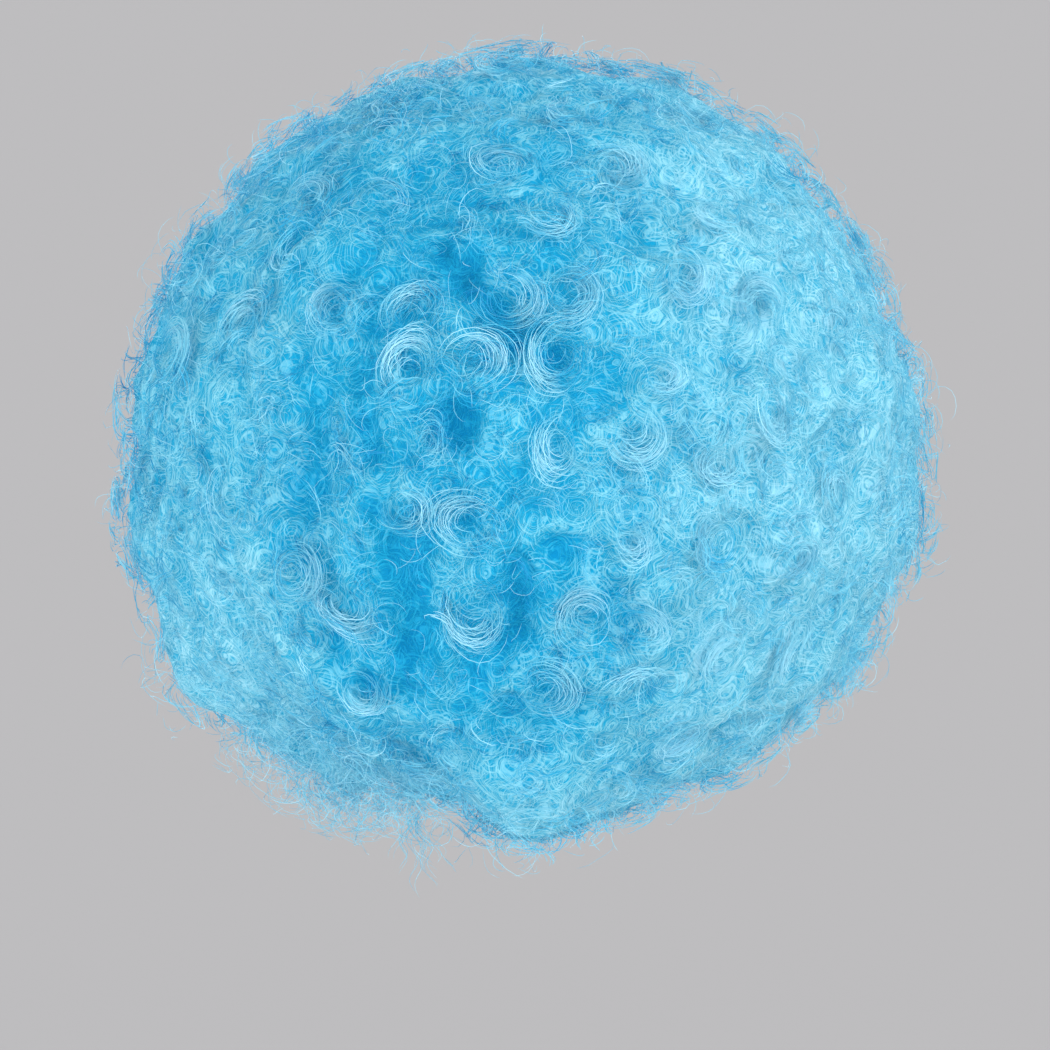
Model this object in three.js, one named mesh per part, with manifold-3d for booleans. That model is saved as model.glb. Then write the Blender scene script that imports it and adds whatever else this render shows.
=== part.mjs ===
// An afro wig: a stretch net cap sewn from panels, an elastic band round the cap's edge, and a
// ball of curled hair sewn over it in rows, from the crown down to the nape.
//
// Millimetres, +Z up. The origin is the inside top of the cap. The front of the wig, where its
// opening is highest, looks along -Y, and its left side as worn is +X.
// Every surface is given by a ray from the middle of the ball of hair: its azimuth is 0 at the
// front and 90 at the left side, and its polar angle is 0 straight up.

import * as THREE from 'three';
import { ParametricGeometry } from 'three/addons/geometries/ParametricGeometry.js';
import { mergeVertices } from 'three/addons/utils/BufferGeometryUtils.js';
import Module from 'manifold-3d';

// The hollow inside the stretched cap
const HEAD_HALF_WIDTH = 77;
const HEAD_HALF_DEPTH = 96;
const CROWN_RISE = 95; // from the hollow's widest level up to its top
const NAPE_TAPER = 125; // the lower half's own rise, which draws the cap in at the nape

// The cap, sewn from a round crown panel and side panels, and its edge band
const CAP_WALL = 1.5;
const PANEL_COUNT = 8;
const CROWN_PANEL_POLAR = 38;
const BAND_WIDTH = 12;
const BAND_WALL = 2;

// How far the hair stands out past the cap
const HAIR_SIDE_DEPTH = 79;
const HAIR_TOP_DEPTH = 82;
const HAIR_BACK_DEPTH = 80;
const HAIR_FRONT_DEPTH = 56;
const HAIR_BELOW = 138; // from the hollow's widest level down to the bottom of the ball

// Curls: each row is a strip of hair with a line of rolled curls on it
const ROW_COUNT = 7;
const CURL_RISE = 12; // of a curl's ridge over its strip
const CURL_ROOT = 11; // how deep a curl's foot sits in its strip
const CURL_OVERLAP = 4; // how far one curl runs into the next
const EDGE_THICKNESS = 23; // of the hair along the front and lower edges

// Clearances
const GAP = 0.3; // between neighbouring solids

// How finely the round surfaces are cut
const PANEL_AZIMUTH_STEPS = 3;
const CROWN_POLAR_STEPS = 3;
const PANEL_POLAR_STEPS = 5;
const STRIP_POLAR_STEPS = 2;
const CURL_SIDES = 7;
const LEAST_STRIP_POLAR = 4; // a strip ends at the front where less of it than this is left

// The edge of the cap and the edge of the hair, by azimuth. Both sides are alike.
const EDGES = [
  { azimuth: 0, capPolar: 70, hairPolar: 82 },
  { azimuth: 25, capPolar: 72, hairPolar: 86 },
  { azimuth: 45, capPolar: 82, hairPolar: 103 },
  { azimuth: 62, capPolar: 103, hairPolar: 125 },
  { azimuth: 78, capPolar: 105, hairPolar: 141 },
  { azimuth: 95, capPolar: 101, hairPolar: 149 },
  { azimuth: 120, capPolar: 116, hairPolar: 151 },
  { azimuth: 150, capPolar: 128, hairPolar: 152 },
  { azimuth: 180, capPolar: 132, hairPolar: 153 },
];

// Where the ball of hair swells or sinks. The rise is a share of the hair at the sides.
const SWELLS = [
  { place: 'nape tail', azimuth: 180, polar: 156, spread: 17, rise: 0.36 },
  { place: 'lower left flick', azimuth: 100, polar: 132, spread: 15, rise: 0.09 },
  { place: 'lower right hollow', azimuth: 262, polar: 152, spread: 13, rise: -0.11 },
  { place: 'upper furrow', azimuth: 172, polar: 70, spread: 8, rise: -0.12 },
  { place: 'middle furrow', azimuth: 160, polar: 73, spread: 8, rise: -0.09 },
  { place: 'left furrow', azimuth: 150, polar: 90, spread: 11, rise: -0.12 },
  { place: 'lower furrow', azimuth: 168, polar: 108, spread: 12, rise: -0.1 },
  { place: 'crown flat', azimuth: 100, polar: 28, spread: 12, rise: -0.05 },
  { place: 'right shoulder', azimuth: 235, polar: 75, spread: 22, rise: 0.05 },
];

// How the curls differ: each takes the next row of this table
const CURL_VARIETY = [
  { tilt: 0, turn: 0, rise: 1 },
  { tilt: 13, turn: 40, rise: 0.85 },
  { tilt: 9, turn: 200, rise: 1.1 },
  { tilt: 16, turn: 300, rise: 0.95 },
  { tilt: 6, turn: 120, rise: 0.8 },
  { tilt: 14, turn: 260, rise: 1.05 },
  { tilt: 11, turn: 80, rise: 0.9 },
];

// A curl's outline from its dented middle over its ridge to its foot. Above the strip the
// height is a share of the curl's rise, and below it a share of its root.
const CURL_OUTLINE = [
  { radius: 0, height: 0.35 },
  { radius: 0.45, height: 1 },
  { radius: 0.8, height: 0.8 },
  { radius: 1, height: 0 },
  { radius: 1, height: -1 },
  { radius: 0, height: -1 },
];

const HAIR_COLOUR = 0x4cb6e4;
const NET_COLOUR = 0x2a8fc4;
const BAND_COLOUR = 0x2583b8;

const toRadians = THREE.MathUtils.degToRad;
const wasm = await Module();
wasm.setup();

// The hollow's middle, at its widest level, and the middle of the ball of hair
const headMiddle = new THREE.Vector3(0, 0, -CROWN_RISE);
const ballTop = CAP_WALL + HAIR_TOP_DEPTH;
const ballBack = HEAD_HALF_DEPTH + CAP_WALL + HAIR_BACK_DEPTH;
const ballFront = HEAD_HALF_DEPTH + CAP_WALL + HAIR_FRONT_DEPTH;
const ballHalfWidth = HEAD_HALF_WIDTH + CAP_WALL + HAIR_SIDE_DEPTH;
const ballHalfDepth = (ballBack + ballFront) / 2;
const ballHalfHeight = (ballTop + CROWN_RISE + HAIR_BELOW) / 2;
const ballMiddle = new THREE.Vector3(0, (ballBack - ballFront) / 2, ballTop - ballHalfHeight);

// The direction of a ray from the middle of the ball
function rayAt(azimuth, polar) {
  const a = toRadians(azimuth);
  const p = toRadians(polar);
  return new THREE.Vector3(Math.sin(p) * Math.sin(a), -Math.sin(p) * Math.cos(a), Math.cos(p));
}

// A column of the edge table at any azimuth, eased between its rows
function edgeAt(azimuth, column) {
  const around = Math.abs(THREE.MathUtils.euclideanModulo(azimuth + 180, 360) - 180);
  const next = Math.max(1, EDGES.findIndex((row) => row.azimuth >= around));
  const [low, high] = [EDGES[next - 1], EDGES[next]];
  const share = THREE.MathUtils.smoothstep(around, low.azimuth, high.azimuth);
  return THREE.MathUtils.lerp(low[column], high[column], share);
}

// How far a ray goes until it meets the hollow's shape, grown all round by an offset
function headReach(ray, offset) {
  const start = ballMiddle.clone().sub(headMiddle);
  const reachOf = (rise) => {
    const radii = new THREE.Vector3(HEAD_HALF_WIDTH, HEAD_HALF_DEPTH, rise).addScalar(offset);
    const from = start.clone().divide(radii);
    const along = ray.clone().divide(radii);
    const b = from.dot(along);
    const a = along.lengthSq();
    return (-b + Math.sqrt(b * b - a * (from.lengthSq() - 1))) / a;
  };
  const reach = reachOf(CROWN_RISE);
  const isAboveWidest = start.z + ray.z * reach >= 0;
  return isAboveWidest ? reach : reachOf(NAPE_TAPER);
}

// How far a ray goes until it leaves the ball of hair
function ballReach(azimuth, polar) {
  const ray = rayAt(azimuth, polar);
  const radii = new THREE.Vector3(ballHalfWidth, ballHalfDepth, ballHalfHeight);
  const plain = 1 / ray.clone().divide(radii).length();
  const swell = SWELLS.reduce((sum, s) => {
    const away = THREE.MathUtils.radToDeg(ray.angleTo(rayAt(s.azimuth, s.polar)));
    return sum + s.rise * Math.exp(-((away / s.spread) ** 2));
  }, 0);
  return plain + swell * HAIR_SIDE_DEPTH;
}

// The sunken depth of a flat facet under the round surface that its corners lie on
function facetSag(radius, stepDegrees) {
  return radius * (1 - Math.cos(toRadians(stepDegrees) / 2));
}

const rowPolar = edgeAt(180, 'hairPolar') / (ROW_COUNT + 0.5);
const widestCap = Math.max(HEAD_HALF_WIDTH, HEAD_HALF_DEPTH, CROWN_RISE) + CAP_WALL;
const azimuthSteps = PANEL_COUNT * PANEL_AZIMUTH_STEPS;
const seatClearance = GAP + facetSag(widestCap, rowPolar / STRIP_POLAR_STEPS);
const gapPolar = THREE.MathUtils.radToDeg(GAP / (2 * headReach(rayAt(90, 90), 0)));

// The inner side of the hair: over the cap and its band, and past their edge running out
// to the edge of the hair
function hairInnerReach(azimuth, polar) {
  const offset = Math.max(CAP_WALL, BAND_WALL) + seatClearance;
  const bandPolar = edgeAt(azimuth, 'capPolar') + bandPolarAt(azimuth);
  const edgePolar = edgeAt(azimuth, 'hairPolar');
  if (polar <= bandPolar) return headReach(rayAt(azimuth, polar), offset);
  const from = headReach(rayAt(azimuth, bandPolar), offset);
  const to = stripReach(azimuth, edgePolar) - EDGE_THICKNESS;
  return THREE.MathUtils.mapLinear(polar, bandPolar, edgePolar, from, Math.max(from, to));
}

// The strips lie below the ball's surface, so that the curls on them reach it
function stripReach(azimuth, polar) {
  return ballReach(azimuth, polar) - CURL_RISE;
}

// The band's width as a polar angle
function bandPolarAt(azimuth) {
  const reach = headReach(rayAt(azimuth, edgeAt(azimuth, 'capPolar')), 0);
  return THREE.MathUtils.radToDeg(BAND_WIDTH / reach);
}

function pointAt(azimuth, polar, reach) {
  return rayAt(azimuth, polar).multiplyScalar(reach).add(ballMiddle);
}

// A closed skin over sections with the same number of points, each going out along one side
// and back along the other. A ring's last section meets its first. An open strip is shut at
// each end by folding the section's second side onto its first.
function skin(sections, isRing) {
  const folded = (section) =>
    section.map((_, i) => section[Math.min(i, section.length - 1 - i)]);
  const rows = isRing
    ? [...sections, sections[0]]
    : [folded(sections[0]), ...sections, folded(sections.at(-1))];
  const points = rows[0].length;
  const surface = (u, v, target) => {
    const row = rows[Math.round(v * (rows.length - 1))];
    target.copy(row[Math.round(u * points) % points]);
  };
  return solidFrom(new ParametricGeometry(surface, points, rows.length - 1));
}

// A manifold solid from a closed geometry. Faces that shrank to a line at a pole are dropped.
function solidFrom(geometry) {
  const bare = geometry.index ? geometry.toNonIndexed() : geometry.clone();
  bare.deleteAttribute('normal');
  bare.deleteAttribute('uv');
  const merged = mergeVertices(bare, 1e-3);
  const corners = merged.index.array;
  const kept = [];
  for (let i = 0; i < corners.length; i += 3) {
    const [a, b, c] = corners.slice(i, i + 3);
    if (a !== b && b !== c && c !== a) kept.push(a, b, c);
  }
  const vertProperties = merged.attributes.position.array;
  const triVerts = new Uint32Array(kept);
  return new wasm.Manifold(new wasm.Mesh({ numProp: 3, vertProperties, triVerts }));
}

function meshFrom(solid, name, material) {
  const { vertProperties, triVerts } = solid.getMesh();
  const geometry = new THREE.BufferGeometry();
  geometry.setAttribute('position', new THREE.BufferAttribute(vertProperties, 3));
  geometry.setIndex(new THREE.BufferAttribute(triVerts, 1));
  geometry.computeVertexNormals();
  const mesh = new THREE.Mesh(geometry, material);
  mesh.name = name;
  return mesh;
}

function range(count) {
  return Array.from({ length: count }, (_, i) => i);
}

const azimuths = range(azimuthSteps).map((i) => (i * 360) / azimuthSteps);

// The net's section at an azimuth, from one polar angle to another: its outer side, then its
// inner side back again
function netSection(azimuth, top, bottom, steps) {
  const wall = (offset) =>
    range(steps + 1).map((i) => {
      const polar = THREE.MathUtils.lerp(top, bottom, i / steps);
      return pointAt(azimuth, polar, headReach(rayAt(azimuth, polar), offset));
    });
  return [...wall(CAP_WALL), ...wall(0).reverse()];
}

// The cap's round crown panel
function crownPanel() {
  const edge = CROWN_PANEL_POLAR - gapPolar;
  return skin(azimuths.map((a) => netSection(a, 0, edge, CROWN_POLAR_STEPS)), true);
}

// A side panel of the cap, from the crown panel down to the cap's edge
function sidePanel(count) {
  const width = 360 / PANEL_COUNT;
  const seam = THREE.MathUtils.radToDeg(GAP / 2 / headReach(rayAt(0, CROWN_PANEL_POLAR), 0));
  const seamAzimuth = seam / Math.sin(toRadians(CROWN_PANEL_POLAR));
  const sections = range(PANEL_AZIMUTH_STEPS + 1).map((i) => {
    const inset = [1, ...Array(PANEL_AZIMUTH_STEPS - 1).fill(0), -1][i] * seamAzimuth;
    const azimuth = (count + i / PANEL_AZIMUTH_STEPS) * width + inset;
    const top = CROWN_PANEL_POLAR + gapPolar;
    return netSection(azimuth, top, edgeAt(azimuth, 'capPolar'), PANEL_POLAR_STEPS);
  });
  return skin(sections, false);
}

// The elastic band: a flat ring that carries the cap's wall on down to the edge
function edgeBand() {
  const sections = azimuths.map((azimuth) => {
    const top = edgeAt(azimuth, 'capPolar') + 2 * gapPolar;
    const bottom = edgeAt(azimuth, 'capPolar') + bandPolarAt(azimuth);
    const corner = (polar, offset) =>
      pointAt(azimuth, polar, headReach(rayAt(azimuth, polar), offset));
    return [corner(top, BAND_WALL), corner(bottom, BAND_WALL), corner(bottom, 0), corner(top, 0)];
  });
  return skin(sections, true);
}

// The cone-sided space that a row may fill, from one polar angle to another
function rowSpace(top, bottom) {
  const far = 2 * Math.max(ballHalfWidth, ballHalfDepth, ballHalfHeight);
  const outline = [top, (top + bottom) / 2, bottom].map((polar) => {
    const p = toRadians(polar);
    return new THREE.Vector2(far * Math.sin(p), far * Math.cos(p));
  });
  const middle = new THREE.Vector2(0, 0);
  const geometry = new THREE.LatheGeometry([middle, ...outline.reverse(), middle], azimuthSteps);
  geometry.rotateX(Math.PI / 2).translate(...ballMiddle);
  return solidFrom(geometry);
}

// The strip of hair under a row's curls, as sections by azimuth where the row has hair
function hairStrip(top, bottom) {
  const hasHair = (azimuth) => edgeAt(azimuth, 'hairPolar') >= top + LEAST_STRIP_POLAR;
  const isRing = azimuths.every(hasHair);
  // An open strip starts and ends at the front, so its azimuths run on past a whole turn
  const kept = azimuths.filter(hasHair);
  const sections = kept.map((azimuth) => {
    const low = Math.min(bottom, edgeAt(azimuth, 'hairPolar'));
    const polars = range(STRIP_POLAR_STEPS + 1).map((i) =>
      THREE.MathUtils.lerp(top, low, i / STRIP_POLAR_STEPS),
    );
    const inner = polars.map((p) => pointAt(azimuth, p, hairInnerReach(azimuth, p)));
    const outer = polars.map((p) => pointAt(azimuth, p, stripReach(azimuth, p)));
    return [...outer, ...inner.reverse()];
  });
  return skin(sections, isRing);
}

// One rolled curl, standing on the strip at a ray, with the next tilt and rise of the table
function curl(azimuth, polar, radius, count) {
  const { tilt, turn, rise } = CURL_VARIETY[count % CURL_VARIETY.length];
  const outline = CURL_OUTLINE.map((point) => {
    const height = point.height * (point.height > 0 ? CURL_RISE * rise : CURL_ROOT);
    return new THREE.Vector2(point.radius * radius, height);
  });
  const geometry = new THREE.LatheGeometry(outline.reverse(), CURL_SIDES);
  geometry.rotateY(toRadians(turn)).rotateX(toRadians(tilt)).rotateY(toRadians(-turn));
  const outward = new THREE.Quaternion().setFromUnitVectors(
    new THREE.Vector3(0, 1, 0),
    rayAt(azimuth, polar),
  );
  geometry.applyQuaternion(outward);
  geometry.translate(...pointAt(azimuth, polar, stripReach(azimuth, polar)));
  return solidFrom(geometry);
}

// The curls of a row, in a line along its middle. Every other row is shifted by half a curl.
function rowCurls(row, top, bottom) {
  const middle = (top + bottom) / 2;
  const span = toRadians(bottom - top);
  const reach = stripReach(90, middle);
  const fullRadius = (span * reach + CURL_OVERLAP) / 2;
  const around = 2 * Math.PI * reach * Math.sin(toRadians(middle));
  const count = Math.round(around / (2 * fullRadius - CURL_OVERLAP));
  const shift = (row % 2) / 2;
  return range(count).flatMap((i) => {
    const azimuth = ((i + shift) * 360) / count;
    const low = Math.min(bottom, edgeAt(azimuth, 'hairPolar'));
    const room = (toRadians(low - top) * reach + CURL_OVERLAP) / 2;
    const isRoomy = room > fullRadius / 2;
    return isRoomy ? [curl(azimuth, (top + low) / 2, room, row + i)] : [];
  });
}

// A row of hair: its strip with its curls fused on, kept inside the row's own space
function hairRow(row) {
  const top = (row - 0.5) * rowPolar + gapPolar;
  const bottom = (row + 0.5) * rowPolar - gapPolar;
  const space = rowSpace(top + gapPolar, bottom - gapPolar);
  return rowCurls(row, top, bottom)
    .map((one) => one.intersect(space))
    .reduce((fused, one) => fused.add(one), hairStrip(top, bottom));
}

// The crown: a round pad of hair with one curl on it
function hairCrown() {
  const edge = rowPolar / 2 - gapPolar;
  const sections = azimuths.map((azimuth) => [
    pointAt(azimuth, 0, stripReach(azimuth, 0)),
    pointAt(azimuth, edge, stripReach(azimuth, edge)),
    pointAt(azimuth, edge, hairInnerReach(azimuth, edge)),
    pointAt(azimuth, 0, hairInnerReach(azimuth, 0)),
  ]);
  const radius = toRadians(edge) * stripReach(0, 0);
  return skin(sections, true).add(curl(0, 0, radius, 0).intersect(rowSpace(0, edge - gapPolar)));
}

const hairMaterial = new THREE.MeshStandardMaterial({ color: HAIR_COLOUR, roughness: 0.6 });
const netMaterial = new THREE.MeshStandardMaterial({ color: NET_COLOUR, roughness: 0.9 });
const bandMaterial = new THREE.MeshStandardMaterial({ color: BAND_COLOUR, roughness: 0.8 });

const wig = new THREE.Group();
wig.add(meshFrom(crownPanel(), 'cap_crown', netMaterial));
range(PANEL_COUNT).forEach((count) => {
  wig.add(meshFrom(sidePanel(count), `cap_panel_${count + 1}`, netMaterial));
});
wig.add(meshFrom(edgeBand(), 'edge_band', bandMaterial));
wig.add(meshFrom(hairCrown(), 'hair_crown', hairMaterial));
for (let row = 1; row <= ROW_COUNT; row += 1) {
  wig.add(meshFrom(hairRow(row), `hair_row_${row}`, hairMaterial));
}

export default wig;
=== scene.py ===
"""Dresses an afro wig over its frame: a felted ball of fine curled fibre with the curls, the
loose frizz and the wisps that stand out of it, the stretch net cap and the elastic band
inside it, and a plain studio stage."""

import math

import bpy
import numpy as np
from bpy.props import FloatProperty, FloatVectorProperty, IntProperty, PointerProperty
from bpy.types import Operator, Panel, PropertyGroup
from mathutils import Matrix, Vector
from mathutils.bvhtree import BVHTree


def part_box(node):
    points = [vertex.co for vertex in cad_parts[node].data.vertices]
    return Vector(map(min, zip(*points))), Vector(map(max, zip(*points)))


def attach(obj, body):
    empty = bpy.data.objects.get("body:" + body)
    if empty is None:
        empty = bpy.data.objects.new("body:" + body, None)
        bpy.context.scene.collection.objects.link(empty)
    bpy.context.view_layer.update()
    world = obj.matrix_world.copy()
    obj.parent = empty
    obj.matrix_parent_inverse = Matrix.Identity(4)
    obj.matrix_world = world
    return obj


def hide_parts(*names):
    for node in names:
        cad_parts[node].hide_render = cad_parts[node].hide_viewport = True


bl_info = {
    "name": "Afro Wig Dresser",
    "version": (1, 0, 0),
    "blender": (4, 5, 0),
    "location": "View3D > Sidebar > Wig",
    "description": "Dresses the frame of an afro wig with its hair, cap and edge band",
    "category": "Object",
}

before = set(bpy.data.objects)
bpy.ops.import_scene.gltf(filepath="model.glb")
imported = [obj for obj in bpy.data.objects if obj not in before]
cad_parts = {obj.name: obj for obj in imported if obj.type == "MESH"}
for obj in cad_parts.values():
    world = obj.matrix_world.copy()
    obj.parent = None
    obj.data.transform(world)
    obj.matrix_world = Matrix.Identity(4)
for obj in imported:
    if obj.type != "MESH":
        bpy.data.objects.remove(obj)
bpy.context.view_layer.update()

MM = 0.001
CAP_NODES = sorted(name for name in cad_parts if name.startswith("cap_"))
HAIR_NODES = sorted(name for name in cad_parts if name.startswith("hair_"))
BAND_NODE = "edge_band"
WIDEST_ROW = "hair_row_4"
CROWN_PAD = "hair_crown"
CAP_CROWN = "cap_crown"
NET_OPENING = 3.4 * MM

# The zones of the hair, each a piece of curls and one of clumps, by polar angle in degrees
HAIR_ZONES = (("crown", 0, 62), ("middle", 62, 98), ("nape", 98, 180))

# The felt's layers of curled fibre: how fine each is, and how far its pattern is shifted
FELT_LAYERS = (
    {"curls": 46.0, "fibres": 52.0, "shift": 0.0},
    {"curls": 66.0, "fibres": 39.0, "shift": 1.3},
    {"curls": 92.0, "fibres": 28.0, "shift": 2.9},
)


def ball_from_frame():
    """The middle and the radius of the ball of hair, from its widest row and its crown."""
    low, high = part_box(WIDEST_ROW)
    radius = (high.x - low.x) / 2
    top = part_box(CROWN_PAD)[1].z
    return np.array([0.0, (low.y + high.y) / 2, top - radius]), radius


BALL_MIDDLE, BALL_RADIUS = ball_from_frame()

# Curls that stand out at the back. Across and up are shares of the ball's radius from its
# middle, across towards the left side as worn.
# Shine gives a curl more fibres and paints them lighter, as a painted highlight.
STANDOUT_CURLS = [
    {"across": -0.22, "up": 0.71, "size": 23 * MM, "shine": 0.9},
    {"across": 0.11, "up": 0.24, "size": 25 * MM, "shine": 1.0},
    {"across": -0.07, "up": 0.25, "size": 27 * MM, "shine": 1.0},
    {"across": 0.26, "up": 0.23, "size": 25 * MM, "shine": 1.0},
    {"across": -0.07, "up": 0.04, "size": 22 * MM, "shine": 1.0},
    {"across": 0.13, "up": -0.13, "size": 27 * MM, "shine": 0.9},
    {"across": 0.54, "up": -0.26, "size": 23 * MM, "shine": 0.9},
    {"across": 0.43, "up": -0.34, "size": 27 * MM, "shine": 0.9},
    {"across": -0.14, "up": -0.35, "size": 26 * MM, "shine": 1.0},
    {"across": -0.26, "up": -0.37, "size": 24 * MM, "shine": 1.0},
    {"across": -0.05, "up": -0.51, "size": 26 * MM, "shine": 0.9},
    {"across": 0.12, "up": -0.34, "size": 32 * MM, "shine": 0.8},
    {"across": -0.10, "up": 0.39, "size": 24 * MM, "shine": 0.8},
    {"across": 0.04, "up": 0.38, "size": 26 * MM, "shine": 0.8},
    {"across": 0.22, "up": 0.06, "size": 17 * MM, "shine": 0.7},
    {"across": 0.26, "up": 0.36, "size": 23 * MM, "shine": 0.7},
    {"across": 0.45, "up": 0.36, "size": 20 * MM, "shine": 0.7},
    {"across": -0.30, "up": 0.20, "size": 19 * MM, "shine": 0.8},
    {"across": -0.25, "up": 0.07, "size": 23 * MM, "shine": 0.8},
    {"across": 0.27, "up": -0.10, "size": 20 * MM, "shine": 0.7},
    {"across": 0.37, "up": -0.52, "size": 20 * MM, "shine": 0.8},
    {"across": -0.83, "up": 0.55, "size": 18 * MM, "shine": 0.8},
    {"across": 0.05, "up": 0.70, "size": 24 * MM, "shine": 0.7},
    {"across": -0.06, "up": 0.57, "size": 20 * MM, "shine": 0.6},
    {"across": 0.53, "up": 0.64, "size": 21 * MM, "shine": 0.6},
    {"across": -0.37, "up": 0.43, "size": 22 * MM, "shine": 0.9},
    {"across": -0.54, "up": 0.36, "size": 22 * MM, "shine": 0.6},
    {"across": -0.56, "up": 0.11, "size": 22 * MM, "shine": 0.7},
    {"across": -0.44, "up": 0.00, "size": 19 * MM, "shine": 0.7},
    {"across": -0.73, "up": -0.07, "size": 18 * MM, "shine": 0.7},
    {"across": -0.24, "up": -0.17, "size": 16 * MM, "shine": 0.8},
    {"across": -0.43, "up": -0.17, "size": 20 * MM, "shine": 0.7},
    {"across": -0.46, "up": -0.45, "size": 20 * MM, "shine": 0.8},
    {"across": -0.25, "up": -0.50, "size": 20 * MM, "shine": 0.7},
    {"across": -0.63, "up": -0.48, "size": 20 * MM, "shine": 0.7},
    {"across": -0.37, "up": -0.65, "size": 23 * MM, "shine": 0.9},
    {"across": -0.70, "up": -0.66, "size": 18 * MM, "shine": 0.9},
]

# Furrows at the back where the curls part, each a line between two places on the same shares
FURROWS = [
    {"from": (0.20, 0.52), "to": (0.02, 0.29), "width": 5.5 * MM, "depth": 1.0},
    {"from": (0.02, 0.29), "to": (-0.02, 0.31), "width": 4 * MM, "depth": 0.8},
    {"from": (0.50, 0.16), "to": (0.57, -0.13), "width": 9 * MM, "depth": 0.8},
    {"from": (0.40, 0.22), "to": (0.36, 0.02), "width": 6 * MM, "depth": 0.7},
    {"from": (0.29, -0.20), "to": (0.27, -0.44), "width": 9 * MM, "depth": 1.0},
    {"from": (0.02, -0.24), "to": (0.01, -0.40), "width": 6 * MM, "depth": 0.9},
    {"from": (0.06, -0.44), "to": (0.12, -0.50), "width": 6 * MM, "depth": 0.7},
]

# Ringlets that hang from the hair's edge at the nape, in groups
RINGLETS = [
    {"azimuth": 143, "spread": 4, "count": 10, "drop": 43 * MM, "width": 5 * MM},
    {"azimuth": 132, "spread": 5, "count": 6, "drop": 22 * MM, "width": 6 * MM},
    {"azimuth": 116, "spread": 10, "count": 11, "drop": 18 * MM, "width": 7 * MM},
    {"azimuth": 99, "spread": 9, "count": 10, "drop": 15 * MM, "width": 8 * MM},
    {"azimuth": 180, "spread": 4, "count": 8, "drop": 11 * MM, "width": 8 * MM},
    {"azimuth": 206, "spread": 12, "count": 10, "drop": 8 * MM, "width": 8 * MM},
]

# Where the curls lie nearer to the ball's middle than the frame's, or farther out
SETTLING = [
    {"azimuth": 180, "polar": 20, "spread": 40, "rise": -2.5 * MM},  # crown
    {"azimuth": 130, "polar": 45, "spread": 18, "rise": -1.0 * MM},  # upper left
    {"azimuth": 235, "polar": 42, "spread": 22, "rise": 1.5 * MM},  # upper right
    {"azimuth": 158, "polar": 150, "spread": 9, "rise": -11 * MM},  # left of the nape's tail
    {"azimuth": 130, "polar": 143, "spread": 14, "rise": -12 * MM},  # under the left side
    {"azimuth": 206, "polar": 149, "spread": 16, "rise": -8 * MM},  # right of the nape's tail
    {"azimuth": 98, "polar": 122, "spread": 13, "rise": 5 * MM},  # lower left
    {"azimuth": 92, "polar": 104, "spread": 12, "rise": 4 * MM},  # left
    {"azimuth": 266, "polar": 102, "spread": 12, "rise": 4 * MM},  # right
    {"azimuth": 262, "polar": 61, "spread": 13, "rise": -4 * MM},  # above the right
]


class WigHairSizes(PropertyGroup):
    """Sizes and amounts of the hair."""

    felt_depth: FloatProperty(
        name="Felt depth", description="How far the felt lies inside the ball's surface",
        default=6 * MM, unit="LENGTH",
    )
    curl_size: FloatProperty(
        name="Curl size", description="Usual width of a curl across its ring",
        default=21 * MM, unit="LENGTH",
    )
    curl_spacing: FloatProperty(
        name="Curl spacing", description="Least distance between the middles of two curls",
        default=30 * MM, unit="LENGTH",
    )
    curl_fibres: IntProperty(
        name="Fibres in a curl", description="How many thick fibres roll round in a curl",
        default=18, min=3,
    )
    clumps: IntProperty(
        name="Clumps", description="How many small clumps of fibre lie between the curls",
        default=3030, min=10,
    )
    clump_fibres: IntProperty(
        name="Fibres in a clump", description="How many fibres lie side by side in a clump",
        default=6, min=1,
    )
    frizz: IntProperty(
        name="Frizz", description="How many loose fibres stand out of the ball",
        default=4200, min=10,
    )
    fibre: FloatProperty(
        name="Fibre", description="Thickness of a bundle of fibre in a curl",
        default=0.33 * MM, unit="LENGTH",
    )
    frizz_fibre: FloatProperty(
        name="Frizz fibre", description="Thickness of a loose fibre",
        default=0.19 * MM, unit="LENGTH",
    )
    frizz_reach: FloatProperty(
        name="Frizz reach", description="How far the loose fibres stand past the ball",
        default=11 * MM, unit="LENGTH",
    )


class WigColours(PropertyGroup):
    """Colours of the hair, the net and the elastic, as linear values."""

    # Painted shade and light: Hollows darkens the hair's blue deep between the curls. Light fibre
    # and Pale fibre lighten it near the surface and, as a painted highlight, on top of the curls.
    hollow: FloatVectorProperty(
        name="Hollows", description="Deep between the curls", subtype="COLOR",
        default=(0.0, 0.27, 0.545),
    )
    body: FloatVectorProperty(
        name="Body", description="The mass of the hair", subtype="COLOR",
        default=(0.008, 0.385, 0.64),
    )
    light: FloatVectorProperty(
        name="Light fibre", description="Fibre near the surface", subtype="COLOR",
        default=(0.185, 0.58, 0.735),
    )
    pale: FloatVectorProperty(
        name="Pale fibre", description="Fibre on top of a curl", subtype="COLOR",
        default=(0.37, 0.74, 0.885),
    )
    net: FloatVectorProperty(
        name="Net", description="Threads of the cap's net", subtype="COLOR",
        default=(0.02, 0.24, 0.50),
    )
    elastic: FloatVectorProperty(
        name="Elastic", description="The edge band", subtype="COLOR",
        default=(0.018, 0.20, 0.44),
    )


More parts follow.
